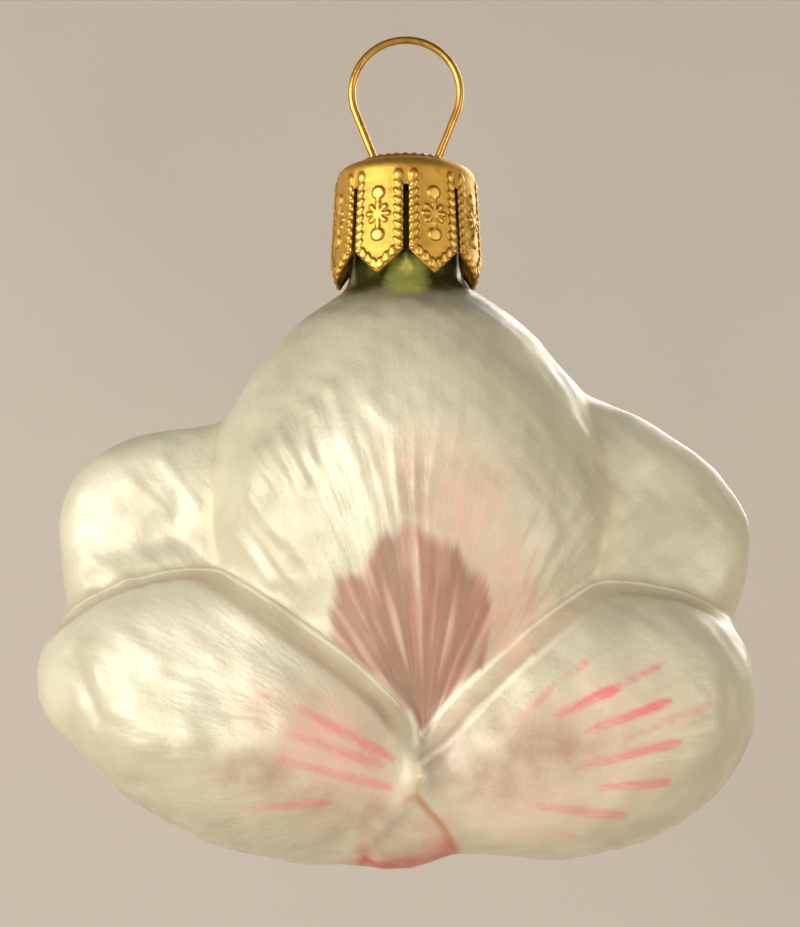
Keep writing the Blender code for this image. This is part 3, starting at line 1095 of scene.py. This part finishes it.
@dataclass(frozen=True)
class PearlLacquer:
    """Pearl cream lacquer over silvered glass, satin and slightly cloudy, with the front's painting and with
    painted highlight and painted shade.
    """

    cream: Colour = (208, 204, 178)
    cloud: Colour = (194, 189, 162)
    fold: Colour = (190, 180, 144)
    band: Colour = (196, 174, 144)
    crest: Colour = (246, 242, 218)
    peach: Colour = (220, 176, 156)
    rose_brown: Colour = (148, 104, 84)
    rose: Colour = (182, 108, 98)
    stroke: Colour = (226, 92, 112)
    red: Colour = (196, 84, 70)
    orange: Colour = (188, 128, 84)
    taupe_and_shade: Colour = (158, 128, 106)
    green: Colour = (228, 234, 124)
    painted_shade_green: Colour = (40, 42, 14)
    olive: Colour = (96, 92, 62)
    painted_highlight_cream: Colour = (240, 237, 212)
    painted_shade_grey: Colour = (176, 170, 142)
    brush_root_z: float = -69.0
    rim_depth: float = -12.5
    metallic: float = 0.22
    roughness: float = 0.49

    def rim_ends(self) -> list[np.ndarray]:
        """Thin raised lines where the petals' rims run out round the throat, as rows of x, z pairs."""
        paths = [
            [(421, 733), (433, 720), (448, 703), (464, 687), (480, 671)],
            [(422, 763), (446, 745), (471, 720), (491, 699), (512, 677), (534, 657)],
            [(417, 742), (415, 724), (410, 709), (403, 698), (394, 687), (382, 676)],
        ]
        return [VIEW.on_front(path, self.rim_depth) for path in paths]

    def material(self, throat: tuple[float, float]) -> bpy.types.Material:
        """Write the material.

        Args:
            throat: x and z of the point that streaks run out from.

        Returns:
            The material.
        """
        graph = Graph("pearl_lacquer_painted")
        place = graph.millimetres()
        x, _, z = graph.split(place)
        across, up = graph.less(x, throat[0]), graph.less(z, throat[1])
        turn = graph.math("ARCTAN2", across, up)
        squares = [graph.math("POWER", offset, 2) for offset in (across, up)]
        radius = graph.math("POWER", graph.plus(*squares), 0.5)
        edge, strength, fan, peach = graph.attribute("brush")
        red, fold, front, taupe_and_shade = graph.attribute("tint")
        left_rim, right_rim, lip_edge, shade = graph.attribute("creases")
        painted_highlight = graph.attribute("lacquer")[0]
        line = graph.lines(x, z, self.rim_ends())
        streak = graph.rays(turn, radius, 9.0, 0.08, 2.0, 1.5)
        vein = graph.rays(turn, radius, 22.0, 0.10, 4.0, 2.0)
        root_up = graph.less(z, self.brush_root_z)
        brush_turn = graph.math("ARCTAN2", across, root_up)
        bristle = graph.rays(brush_turn, radius, 60.0, 0.25, 7.0, 2.0)
        clouded = graph.step(graph.noise(place, 0.14, 3.0), 0.40, 0.66)
        colour = graph.mix(clouded, linear(*self.cream), linear(*self.cloud))
        # Painted highlight: a lighter cream where the lamp's sheen falls.
        colour = graph.mix(painted_highlight, colour, linear(*self.painted_highlight_cream))
        # Painted shade: a greyer pearl where the glass turns away from the lamp.
        colour = graph.mix(shade, colour, linear(*self.painted_shade_grey))
        # Painted shade along the creases, with lacquer pooled in them: a tan fold colour that fades with the
        # distance from each crease.
        colour = graph.mix(graph.times(fold, 0.7), colour, linear(*self.fold))
        cloudy = graph.step(graph.noise(place, 0.5, 4.0), 0.25, 0.7)
        apart = graph.step(graph.plus(left_rim, right_rim), 0.0, -1.0)
        shown = graph.times(apart, front)
        # A tan band in the channel between each rim's raised lines: painted shade of the rim's face turned
        # away from the lamp, with lacquer pooled in it.
        bands = [graph.ridge(rim, 1.75, 1.40, 0.55) for rim in (left_rim, right_rim)]
        band = graph.times(graph.most(*bands), shown)
        colour = graph.mix(band, colour, linear(*self.band))
        # Painted highlight: the rims' raised lines and the lines round the throat are painted a pale cream,
        # as where the lamp catches them.
        outer_crests = [graph.ridge(rim, 0.40, 0.42, 0.75) for rim in (left_rim, right_rim)]
        inner_crest = graph.times(graph.ridge(right_rim, 2.60, 0.50, 0.75), graph.step(x, 17.0, 9.0))
        crest = graph.most(*outer_crests, inner_crest)
        crest = graph.most(graph.times(crest, apart), graph.ridge(line, 0.0, 0.46, 0.80))
        colour = graph.mix(graph.times(crest, front), colour, linear(*self.crest))
        thin = graph.plus(0.45, graph.times(cloudy, 0.55))
        colour = graph.mix(graph.times(peach, thin), colour, linear(*self.peach))
        fan_colour = graph.mix(graph.step(streak, 0.40, 0.66), linear(*self.rose_brown), linear(*self.rose))
        fan_edge = graph.plus(fan, graph.times(graph.less(vein, 0.5), 0.9))
        fan_cover = graph.times(graph.step(fan_edge, 0.15, 1.0), graph.step(streak, 0.80, 0.46, 0.84))
        on_petals = graph.most(*(graph.step(rim, -0.3, 0.3) for rim in (left_rim, right_rim)))
        fan_cover = graph.times(fan_cover, graph.step(fan, 0.0, 0.4))
        fan_cover = graph.times(fan_cover, graph.less(1.0, on_petals))
        colour = graph.mix(fan_cover, colour, fan_colour)
        # Brown wash and painted shade in the throat, under the petals' edges and on the lip.
        colour = graph.mix(graph.times(taupe_and_shade, thin), colour, linear(*self.taupe_and_shade))
        ragged = graph.plus(edge, graph.times(graph.less(bristle, 0.5), 0.35))
        covered = graph.times(graph.step(ragged, -0.26, 0.24), strength)
        covered = graph.times(covered, graph.step(bristle, -0.05, 0.60, 0.92))
        colour = graph.mix(covered, colour, linear(*self.stroke))
        colour = graph.mix(graph.times(red, graph.step(cloudy, -0.6, 0.8)), colour, linear(*self.red))
        low_edge = graph.plus(z, graph.times(cloudy, 0.9))
        orange = graph.times(graph.ridge(lip_edge, 0.1, 0.60, 0.80), graph.step(z, -66.0, -68.5))
        orange = graph.times(orange, graph.step(x, -1.5, 1.5))
        colour = graph.mix(graph.times(orange, front), colour, linear(*self.orange))
        bare = graph.step(low_edge, -24.2, -22.4)
        neck_shade = graph.step(low_edge, -27.0, -23.4, 0.8)
        patches = graph.times(graph.noise(place, 0.5, 2.0), 2.4)
        # Painted shade: the neck goes near-black under the cap and darker at its sides, as a painted dark
        # reflection of the cap.
        dark = graph.step(graph.plus(graph.math("ABSOLUTE", x), patches), 2.5, 3.6, 0.9)
        dark = graph.most(dark, graph.step(z, -21.2, -20.0))
        colour = graph.mix(neck_shade, colour, linear(*self.olive))
        colour = graph.mix(bare, colour, graph.mix(dark, linear(*self.green), linear(*self.painted_shade_green)))
        shader = graph.shader
        graph.feed(shader.inputs["Base Color"], colour)
        washed = graph.times(graph.most(peach, taupe_and_shade), 0.8)
        painted = graph.most(covered, washed, graph.most(fan_cover, bare))
        metallic = graph.plus(graph.step(painted, 1.0, 0.0, self.metallic), graph.times(bare, 0.7))
        graph.feed(shader.inputs["Metallic"], metallic)
        satin = graph.plus(self.roughness - 0.05, graph.times(cloudy, 0.10))
        graph.feed(shader.inputs["Roughness"], graph.less(satin, graph.times(bare, 0.30)))
        shader.inputs["Coat Weight"].default_value = 0.25
        shader.inputs["Coat Roughness"].default_value = 0.22
        fine = graph.bump(graph.noise(place, 2.2, 3.0), 0.00004)
        raised = []
        for rim in (left_rim, right_rim):
            raised += [graph.crest(rim, 0.0, 0.5, 1.7, 0.13), graph.crest(rim, 1.8, 2.65, 4.4, 0.15)]
        rolled = graph.times(graph.plus(*raised), shown)
        ends = graph.times(graph.step(line, 0.80, 0.0, 0.17), front)
        rolled = graph.most(rolled, ends)
        fine = graph.bump(rolled, 0.001, fine)
        off_lip = graph.times(graph.step(lip_edge, 0.0, -1.5), graph.step(radius, 8.0, 18.0))
        off_lip = graph.times(off_lip, graph.step(radius, 38.0, 24.0))
        fine = graph.bump(graph.times(vein, off_lip), 0.00009, fine)
        brushed = graph.bump(graph.times(bristle, front), 0.00003, fine)
        graph.feed(shader.inputs["Normal"], brushed)
        return graph.material


@dataclass(frozen=True)
class CrownCap:
    """The stamped cap: a domed sheet with eight pointed lobes, each with roped border, balls and star."""

    sheet: float = 0.35
    top: float = -11.15
    shoulder: float = -13.2
    shoulder_radius: float = 6.30
    curve_power: float = 2.9
    slot_top: float = -14.4
    side_end: float = -20.3
    tip: float = -22.4
    tip_radius: float = 6.80
    lobes: int = 8
    slot_width: float = 0.50
    hole_radius: float = 0.75
    hole_x: float = 2.83
    hole_sides: int = 32
    dome_rings: int = 36
    inner_rings: int = 8
    lobe_columns: int = 48
    lobe_rows: int = 72
    rope_pitch: float = 0.74
    border_middle: float = 0.44
    border_half: float = 0.34
    knob_radius: float = 0.46
    ball_radius: float = 0.62
    ring_radius: float = 3.75
    ring_beads: int = 30
    ball_heights: tuple[float, float] = (-15.15, -18.95)
    star_height: float = -17.05
    star_arm: float = 0.86
    full_height: float = 0.20

    def dome_profile(self, share: np.ndarray) -> tuple[np.ndarray, np.ndarray]:
        """Radius and height from the dome's centre (0) to its shoulder (1), along a superellipse."""
        turn = share * np.pi / 2
        power = 2 / self.curve_power
        radius = self.shoulder_radius * np.sin(turn) ** power
        rise = (self.top - self.shoulder) * np.clip(np.cos(turn), 0, 1) ** power
        return radius, self.shoulder + rise

    def skirt_radius(self, z: np.ndarray) -> np.ndarray:
        """The skirt flares evenly from the shoulder to the lobes' tips."""
        share = (self.shoulder - z) / (self.shoulder - self.tip)
        return self.shoulder_radius + (self.tip_radius - self.shoulder_radius) * share

    def edge_inset(self, beside: np.ndarray, z: np.ndarray) -> np.ndarray:
        """Distance in from the lobe's edge: the lesser of those to its side and to its slanted foot.

        Args:
            beside: Distance along the sheet from the lobe's middle line.
            z: Height.

        Returns:
            Millimetres in from the edge.
        """
        half = self.half_width()
        side = half - np.abs(beside)
        drop = self.side_end - self.tip
        slant = np.hypot(half, drop)
        foot = ((z - self.tip) * half - np.abs(beside) * drop) / slant
        return np.minimum(side, foot)

    def half_width(self) -> float:
        """Half of a lobe's width along the sheet."""
        return np.pi * self.shoulder_radius / self.lobes - self.slot_width / 2

    def emboss(self, beside: np.ndarray, z: np.ndarray) -> np.ndarray:
        """Height of the stamping on a lobe: the greatest of border, knobs, balls, bars and star.

        The border is a raised band at a set inset, its height a cosine along the edge as in a rope. A ball
        is a cap of a circle. The star is a rod repeated eight times round its centre by folding the angle.

        Args:
            beside: Distance along the sheet from the lobe's middle line.
            z: Height.

        Returns:
            Millimetres outwards.
        """
        inset = self.edge_inset(beside, z)
        half = self.half_width()
        drop = self.side_end - self.tip
        slant = np.hypot(half, drop)
        on_slant = ((half - np.abs(beside)) * half + (self.side_end - z) * drop) / slant
        on_side = half - np.abs(beside) < inset + 0.001
        run = np.where(on_side, self.side_end - z, on_slant)
        rope = np.cos(2 * np.pi * (run + 0.35 * (inset - self.border_middle)) / self.rope_pitch)
        across = np.abs(inset - self.border_middle) - 0.07 * rope
        border = (0.16 + 0.04 * rope) * smooth_step(across, self.border_half + 0.08, self.border_half - 0.14)
        border *= smooth_step(z, self.slot_top + 0.75, self.slot_top + 0.45)
        knob_away = np.hypot(np.abs(beside) - half + self.border_middle, z - self.slot_top - 0.85)
        knob = self.full_height * np.sqrt(np.clip(1 - (knob_away / self.knob_radius) ** 2, 0, 1))
        motif = np.zeros_like(z)
        for height in self.ball_heights:
            away = np.hypot(beside, z - height)
            ball = self.full_height * np.sqrt(np.clip(1 - (away / self.ball_radius) ** 2, 0, 1))
            motif = np.maximum(motif, ball + 0.05 * bell(away, 0.42, 0.12))
            low, high = sorted((height, self.star_height))
            bar = np.hypot(beside, z - np.clip(z, low, high))
            motif = np.maximum(motif, 0.14 * smooth_step(bar, 0.26, 0.12))
        return np.maximum(np.maximum(border, knob), np.maximum(motif, self.star(beside, z)))

    def star(self, beside: np.ndarray, z: np.ndarray) -> np.ndarray:
        """An eight-armed star: distance from a rod along the folded angle, thicker at the arm's end."""
        up = z - self.star_height
        radius = np.hypot(beside, up)
        sector = np.pi / 4
        turn = np.arctan2(beside, up)
        folded = turn - sector * np.round(turn / sector)
        along, across = radius * np.cos(folded), radius * np.sin(folded)
        away = np.hypot(along - np.clip(along, 0, self.star_arm), across)
        thick = 0.13 + 0.09 * smooth_step(along, 0.45, self.star_arm)
        return 0.16 * smooth_step(away, thick + 0.08, thick - 0.06)

    def place(self, radius: np.ndarray, angle: np.ndarray, z: np.ndarray) -> np.ndarray:
        """Points at a radius and height, at an angle that is nought to the front."""
        radius, angle, z = np.broadcast_arrays(radius, angle, z)
        return np.stack([radius * np.sin(angle), -radius * np.cos(angle), z], axis=-1)

    def dome(self, rings: int, inwards: float) -> tuple[np.ndarray, np.ndarray]:
        """Rings of the dome down to the slots' tops, with a roped ring near its centre and knobs at its rim.

        Args:
            rings: Rings from the centre to the shoulder.
            inwards: How far inside the outer face they lie.

        Returns:
            Grid of points from the innermost ring down, and their stamping heights.
        """
        columns = self.lobes * self.lobe_columns
        angle = 2 * np.pi * np.arange(columns)[None] / columns
        radius, height = self.dome_profile((np.arange(1, rings + 1) / rings)[:, None])
        steps = max(2, rings // 5)
        skirt = np.linspace(self.shoulder, self.slot_top, steps + 1)[1:, None]
        radius, height = np.concatenate([radius, self.skirt_radius(skirt)]), np.concatenate([height, skirt])
        points = self.place(radius, angle, height)
        normals = grid_normals(points)
        middle = 2 * np.pi * (np.floor(angle / (2 * np.pi) * self.lobes) + 0.5) / self.lobes
        beside = (angle - middle) * self.shoulder_radius + 0 * height
        stamped = self.emboss(beside, height + 0 * angle) * smooth_step(height + 0 * angle, -12.4, -13.0)
        rope = np.cos(angle * self.ring_beads + 3.0 * (radius - self.ring_radius))
        ring = (0.26 + 0.06 * rope) * smooth_step(np.abs(radius - self.ring_radius + 0 * angle), 0.60, 0.15)
        stamped += ring * smooth_step(height + 0 * angle, -13.0, -12.0)
        return points + normals * (stamped - inwards)[..., None], stamped

    def lobe(self, number: int, inwards: float) -> tuple[np.ndarray, np.ndarray]:
        """Grid of one lobe below the slots' tops, with its rows bent to follow the pointed foot.

        Args:
            number: Lobe's number, from the front towards +X.
            inwards: How far inside the outer face it lies.

        Returns:
            Grid of points, rows downwards, and their stamping heights.
        """
        side = np.linspace(-1, 1, self.lobe_columns + 1)[None]
        end = self.side_end + (self.tip - self.side_end) * (1 - np.abs(side))
        down = (np.arange(1, self.lobe_rows + 1) / self.lobe_rows)[:, None]
        z = self.slot_top + (end - self.slot_top) * down
        beside = side * self.half_width() + 0 * z
        stamped = self.emboss(beside, z)
        middle = 2 * np.pi * (number + 0.5) / self.lobes
        radius = self.skirt_radius(z) + stamped - inwards
        return self.place(radius, middle + beside / self.shoulder_radius, z), stamped

    def shell(self, inwards: float, rings: int, first: int) -> dict[str, object]:
        """One face of the sheet: dome and lobes.

        Args:
            inwards: How far inside the outer face it lies.
            rings: Rings of the dome.
            first: Index of its first point.

        Returns:
            Its points, stamping heights, faces, and the run of point indices round its free edge.
        """
        outwards = inwards == 0
        columns = self.lobes * self.lobe_columns
        dome, dome_height = self.dome(rings, inwards)
        pole = np.array([[0.0, 0.0, self.top - inwards]])
        points, heights = [pole, dome.reshape(-1, 3)], [np.zeros(1), dome_height.ravel()]
        ring = first + 1 + np.arange(columns)
        faces = [grid_quads(len(dome), columns, first + 1, True, outwards)]
        centre = np.stack([ring, np.roll(ring, -1), np.full_like(ring, first)], axis=-1)
        faces.append(centre if outwards else centre[:, ::-1])
        last = first + 1 + (len(dome) - 1) * columns
        start = first + 1 + dome[..., 0].size
        edge = []
        for number in range(self.lobes):
            grid, stamped = self.lobe(number, inwards)
            rows = start + np.arange(grid[..., 0].size).reshape(grid.shape[:2])
            above = last + (number * self.lobe_columns + np.arange(self.lobe_columns + 1)) % columns
            joined = np.stack([above[:-1], rows[0, :-1], rows[0, 1:], above[1:]], axis=-1)
            faces.append(joined if outwards else joined[:, ::-1])
            faces.append(grid_quads(len(rows), self.lobe_columns + 1, start, False, outwards))
            edge.append(np.concatenate([above[:1], rows[:, 0], rows[-1, 1:-1], rows[::-1, -1]]))
            points.append(grid.reshape(-1, 3))
            heights.append(stamped.ravel())
            start += rows.size
        return {
            "points": np.concatenate(points),
            "heights": np.concatenate(heights),
            "faces": faces,
            "edge": np.concatenate(edge),
        }

    def build(self) -> bpy.types.Object:
        """Make the cap: outer and inner face joined round the free edge, with a hole for each leg."""
        outer = self.shell(0.0, self.dome_rings, 0)
        inner = self.shell(self.sheet, self.inner_rings, len(outer["points"]))
        rim = strip_quads(outer["edge"], inner["edge"], True)[:, ::-1]
        points = np.concatenate([outer["points"], inner["points"]])
        piece = add_mesh("stamped_crown_cap", points, [*outer["faces"], *inner["faces"], rim])
        heights = np.concatenate([outer["heights"], inner["heights"]])
        add_colour_attribute(piece, "stamping", [heights / self.full_height])
        for side in (-1, 1):
            self.cut_hole(piece, side)
        return piece

    def cut_hole(self, piece: bpy.types.Object, side: int) -> None:
        """Cut the upright hole of one leg through the dome."""
        sides = self.hole_sides
        ring = np.linspace(0, 2 * np.pi, sides, endpoint=False)
        circle = np.stack([np.cos(ring), np.sin(ring)], axis=-1)
        outline = circle * self.hole_radius + [side * self.hole_x, 0]
        levels = [self.top + 2, self.top - 2]
        rims = [np.concatenate([outline, np.full((sides, 1), level)], axis=1) for level in levels]
        ends = np.array([[side * self.hole_x, 0, level] for level in levels])
        points = np.concatenate([*rims, ends])
        upper, lower = np.arange(sides), sides + np.arange(sides)
        faces = [
            strip_quads(upper, lower, True)[:, ::-1],
            np.stack([upper, np.roll(upper, -1), np.full(sides, 2 * sides)], axis=-1),
            np.stack([lower, np.roll(lower, -1), np.full(sides, 2 * sides + 1)], axis=-1)[:, ::-1],
        ]
        cutter = add_mesh("leg_hole_cutter", points, faces)
        cut = piece.modifiers.new("leg_hole", "BOOLEAN")
        cut.operation = "DIFFERENCE"
        cut.solver = "MANIFOLD"
        cut.object = cutter
        with bpy.context.temp_override(object=piece, active_object=piece, selected_objects=[piece]):
            bpy.ops.object.modifier_apply(modifier=cut.name)
        bpy.data.objects.remove(cutter)


@dataclass(frozen=True)
class StampedGold:
    """Thin gold-coloured sheet: satin field, high points lighter as polish and painted highlight, and brown
    lacquer with painted shade in the hollows.
    """

    polish_and_highlight: Colour = (240, 204, 108)
    mid: Colour = (208, 164, 74)
    hollow: Colour = (140, 96, 34)
    roughness: float = 0.41

    def material(self) -> bpy.types.Material:
        """Write the material."""
        graph = Graph("stamped_gold_sheet")
        place = graph.millimetres()
        height = graph.attribute("stamping")[0]
        cloud = graph.noise(place, 0.9, 4.0)
        grain = graph.noise(place, 9.0, 2.0)
        # The raised stamping is lighter on top, partly polish and partly painted highlight, and darker on
        # its flanks, partly brown lacquer and partly painted shade; the random brown clouds are the
        # lacquer's uneven tone.
        colour = graph.mix(graph.step(height, 0.55, 1.2), linear(*self.mid), linear(*self.polish_and_highlight))
        slope = graph.times(graph.step(height, 0.04, 0.25), graph.step(height, 0.75, 0.35))
        colour = graph.mix(graph.times(slope, 0.75), colour, linear(*self.hollow))
        colour = graph.mix(graph.step(cloud, 0.5, 0.75, 0.5), colour, linear(*self.hollow))
        shader = graph.shader
        graph.feed(shader.inputs["Base Color"], colour)
        shader.inputs["Metallic"].default_value = 1.0
        worn = graph.times(graph.step(height, 0.5, 1.1), -0.10)
        rough = graph.plus(self.roughness, graph.times(cloud, 0.14), worn)
        graph.feed(shader.inputs["Roughness"], rough)
        graph.feed(shader.inputs["Normal"], graph.bump(grain, 0.00002, graph.bump(cloud, 0.00006)))
        return graph.material


@dataclass(frozen=True)
class HangerWire:
    """The sprung wire: a loop whose straight legs run down through the cap and spread inside the neck."""

    radius: float = 0.35
    outer_half_width: float = 5.30
    at_cap: tuple[float, float] = (2.83, -10.9)
    at_neck_foot: tuple[float, float] = (3.22, -22.0)
    end: tuple[float, float] = (5.30, -27.5)
    pull_in: float = 1.2
    pull_out: float = 3.0
    loop_steps: int = 150
    leg_steps: int = 40
    sides: int = 24

    def leg(self) -> np.ndarray:
        """Centre line of the right leg, as x and z: a tangent, a cubic curve and a straight end."""
        loop_radius = self.outer_half_width - self.radius
        centre = self.radius - loop_radius
        x, z = self.at_cap
        drop = z - centre
        angle = np.arctan2(drop, x) + np.arccos(loop_radius / np.hypot(x, drop))
        start = np.array([loop_radius * np.cos(angle), centre + loop_radius * np.sin(angle)])
        cap, foot, end = np.array(self.at_cap), np.array(self.at_neck_foot), np.array(self.end)
        inwards = cap + (cap - start) / np.linalg.norm(cap - start) * self.pull_in
        outwards = foot - (end - foot) / np.linalg.norm(end - foot) * self.pull_out
        t = np.linspace(0, 1, self.leg_steps)[:, None]
        near_cap = (1 - t) ** 3 * cap + 3 * (1 - t) ** 2 * t * inwards
        curve = near_cap + 3 * (1 - t) * t**2 * outwards + t**3 * foot
        share = np.linspace(0, 1, 12)[:, None]
        return np.concatenate([start + (cap - start) * share[:-1], curve, foot + (end - foot) * share[1:]])

    def route(self) -> np.ndarray:
        """Centre line of the whole wire, from the left leg's end to the right leg's end, in the XZ plane."""
        right = self.leg()
        loop_radius = self.outer_half_width - self.radius
        centre = self.radius - loop_radius
        first = np.arctan2(right[0, 1] - centre, right[0, 0])
        angle = np.linspace(np.pi - first, first, self.loop_steps)[1:-1]
        loop = np.stack([loop_radius * np.cos(angle), centre + loop_radius * np.sin(angle)], axis=-1)
        left = right[::-1] * [-1, 1]
        flat = np.concatenate([left, loop, right])
        return np.stack([flat[:, 0], 0 * flat[:, 0], flat[:, 1]], axis=-1)

    def build(self) -> bpy.types.Object:
        """Make the tube: a circle carried along the route, square to it, with a rounded cut at each end."""
        route = self.route()
        run = np.gradient(route, axis=0)
        run /= np.linalg.norm(run, axis=1, keepdims=True)
        sideways = np.array([0.0, 1.0, 0.0])
        outward = np.cross(run, sideways)
        turn = np.linspace(0, 2 * np.pi, self.sides, endpoint=False)
        ring = np.cos(turn)[None, :, None] * sideways + np.sin(turn)[None, :, None] * outward[:, None]
        shrink = np.ones((len(route), 1, 1))
        shrink[0] = shrink[-1] = 0.7
        points = (route[:, None] + self.radius * shrink * ring).reshape(-1, 3)
        points = np.concatenate([points, route[:1], route[-1:]])
        rim = np.arange(self.sides)
        last = (len(route) - 1) * self.sides
        faces = [
            grid_quads(len(route), self.sides, 0, True, True),
            fan_triangles(rim, last + self.sides)[:, ::-1],
            fan_triangles(last + rim, last + self.sides + 1),
        ]
        return add_mesh("drawn_wire_loop", points, faces)


@dataclass(frozen=True)
class DrawnGoldWire:
    """Gold-coloured drawn wire, polished, with fine die lines and a few dull places."""

    colour: Colour = (206, 160, 76)
    dull: Colour = (146, 104, 42)
    roughness: float = 0.26

    def material(self) -> bpy.types.Material:
        """Write the material."""
        graph = Graph("drawn_gold_wire")
        place = graph.millimetres()
        cloud = graph.noise(place, 0.5, 4.0)
        lines = graph.noise(place, 6.0, 2.0)
        colour = graph.mix(graph.step(cloud, 0.40, 0.70, 0.8), linear(*self.colour), linear(*self.dull))
        graph.feed(graph.shader.inputs["Base Color"], colour)
        graph.shader.inputs["Metallic"].default_value = 1.0
        rough = graph.plus(self.roughness - 0.05, graph.times(cloud, 0.2))
        graph.feed(graph.shader.inputs["Roughness"], rough)
        graph.feed(graph.shader.inputs["Normal"], graph.bump(lines, 0.00002))
        return graph.material


@dataclass(frozen=True)
class SoftLight:
    """One soft lamp: a square panel that looks at the blossom from an azimuth, 0 being the camera's side."""

    name: str
    azimuth_deg: float
    elevation_deg: float
    distance: float
    size: tuple[float, float]
    power: float
    colour: Colour

    def add(self) -> None:
        """Place the panel, hidden from the camera itself."""
        data = bpy.data.lights.new(self.name, "AREA")
        data.shape = "RECTANGLE"
        data.size, data.size_y = self.size
        data.energy = self.power
        data.color = linear(*self.colour)[:3]
        lamp = bpy.data.objects.new(self.name, data)
        bpy.context.scene.collection.objects.link(lamp)
        azimuth, elevation = np.radians(self.azimuth_deg), np.radians(self.elevation_deg)
        level = np.cos(elevation)
        away = Vector((level * np.sin(azimuth), -level * np.cos(azimuth), np.sin(elevation)))
        lamp.location = Vector(VIEW.look) * MM + away * self.distance
        lamp.rotation_euler = (-away).to_track_quat("-Z", "Y").to_euler()
        lamp.visible_camera = False


@dataclass(frozen=True)
class Studio:
    """A plain pale bowl, floor and wall in one, with soft lamps and a dim even sky."""

    floor_z: float = -0.360
    floor_radius: float = 0.55
    bend: float = 0.30
    wall_top: float = 1.10
    paint: Colour = (222, 214, 203)
    sky: Colour = (250, 248, 246)
    sky_strength: float = 0.18
    wall_power: float = 2.7
    wall_lamp: tuple[float, float, float] = (-0.42, 0.1, 0.25)
    sides: int = 96

    def bowl(self) -> bpy.types.Object:
        """Make the bowl: a profile of flat floor, quarter-circle bend and upright wall, turned about Z."""
        turn = np.linspace(0, np.pi / 2, 24)
        flat = np.linspace(0.001, self.floor_radius, 10)
        radius = np.concatenate([flat, self.floor_radius + self.bend * np.sin(turn)])
        height = np.concatenate([0 * flat, self.bend * (1 - np.cos(turn))])
        radius, height = np.append(radius, radius[-1]), np.append(height, self.wall_top)
        angle = np.linspace(0, 2 * np.pi, self.sides, endpoint=False)[None]
        grid = np.stack(
            [
                radius[:, None] * np.sin(angle),
                -radius[:, None] * np.cos(angle),
                (self.floor_z + height)[:, None] + 0 * angle,
            ],
            axis=-1,
        )
        points = np.concatenate([grid.reshape(-1, 3), [[0, 0, self.floor_z]]]) / MM
        ring = np.arange(self.sides)
        faces = [
            grid_quads(len(radius), self.sides, 0, True, True),
            np.stack([ring, np.roll(ring, -1), np.full(self.sides, len(points) - 1)], axis=-1),
        ]
        return add_mesh("studio_bowl", points, faces)

    def light_wall(self, bowl: bpy.types.Object) -> None:
        """Add a lamp to the left of the middle and above it, which lights the bowl alone."""
        receivers = bpy.data.collections.new("lit_by_wall_lamp")
        receivers.objects.link(bowl)
        data = bpy.data.lights.new("wall_lamp", "POINT")
        data.energy = self.wall_power
        data.shadow_soft_size = 0.2
        lamp = bpy.data.objects.new("wall_lamp", data)
        bpy.context.scene.collection.objects.link(lamp)
        lamp.location = self.wall_lamp
        lamp.light_linking.receiver_collection = receivers

    def build(self) -> None:
        """Set up floor, lamps, sky and the picture's plain colour handling."""
        bowl = self.bowl()
        graph = Graph("matt_paper")
        cloud = graph.noise(graph.millimetres(), 0.01, 2.0)
        light, dark = linear(*self.paint), linear(*(0.97 * channel for channel in self.paint))
        graph.feed(graph.shader.inputs["Base Color"], graph.mix(cloud, light, dark))
        graph.shader.inputs["Roughness"].default_value = 0.9
        bowl.data.materials.append(graph.material)
        self.light_wall(bowl)
        lamps = [
            SoftLight("window", -46, 6, 0.62, (0.66, 0.34), 4.1, (255, 253, 250)),
            SoftLight("fill", 52, 0, 0.70, (0.40, 0.30), 1.10, (255, 252, 248)),
            SoftLight("back_fill", 150, 25, 0.70, (0.40, 0.40), 2.2, (255, 252, 248)),
        ]
        for lamp in lamps:
            lamp.add()
        world = bpy.data.worlds.new("dim_sky")
        world.use_nodes = True
        sky = world.node_tree.nodes["Background"]
        sky.inputs["Color"].default_value = linear(*self.sky)
        sky.inputs["Strength"].default_value = self.sky_strength
        bpy.context.scene.world = world
        bpy.context.scene.view_settings.view_transform = "Standard"


def main() -> None:
    """Build and dress each piece, then the studio and the camera."""
    logging.basicConfig(level=logging.INFO, format="%(name)s %(message)s")
    VIEW.add_camera()
    glass = GlassBlossom()
    dress(glass.build(), PearlLacquer().material(glass.throat), "glass_body")
    dress(CrownCap().build(), StampedGold().material(), "crown_cap")
    dress(HangerWire().build(), DrawnGoldWire().material(), "hanger_wire")
    Studio().build()


if __name__ == "__main__":
    main()
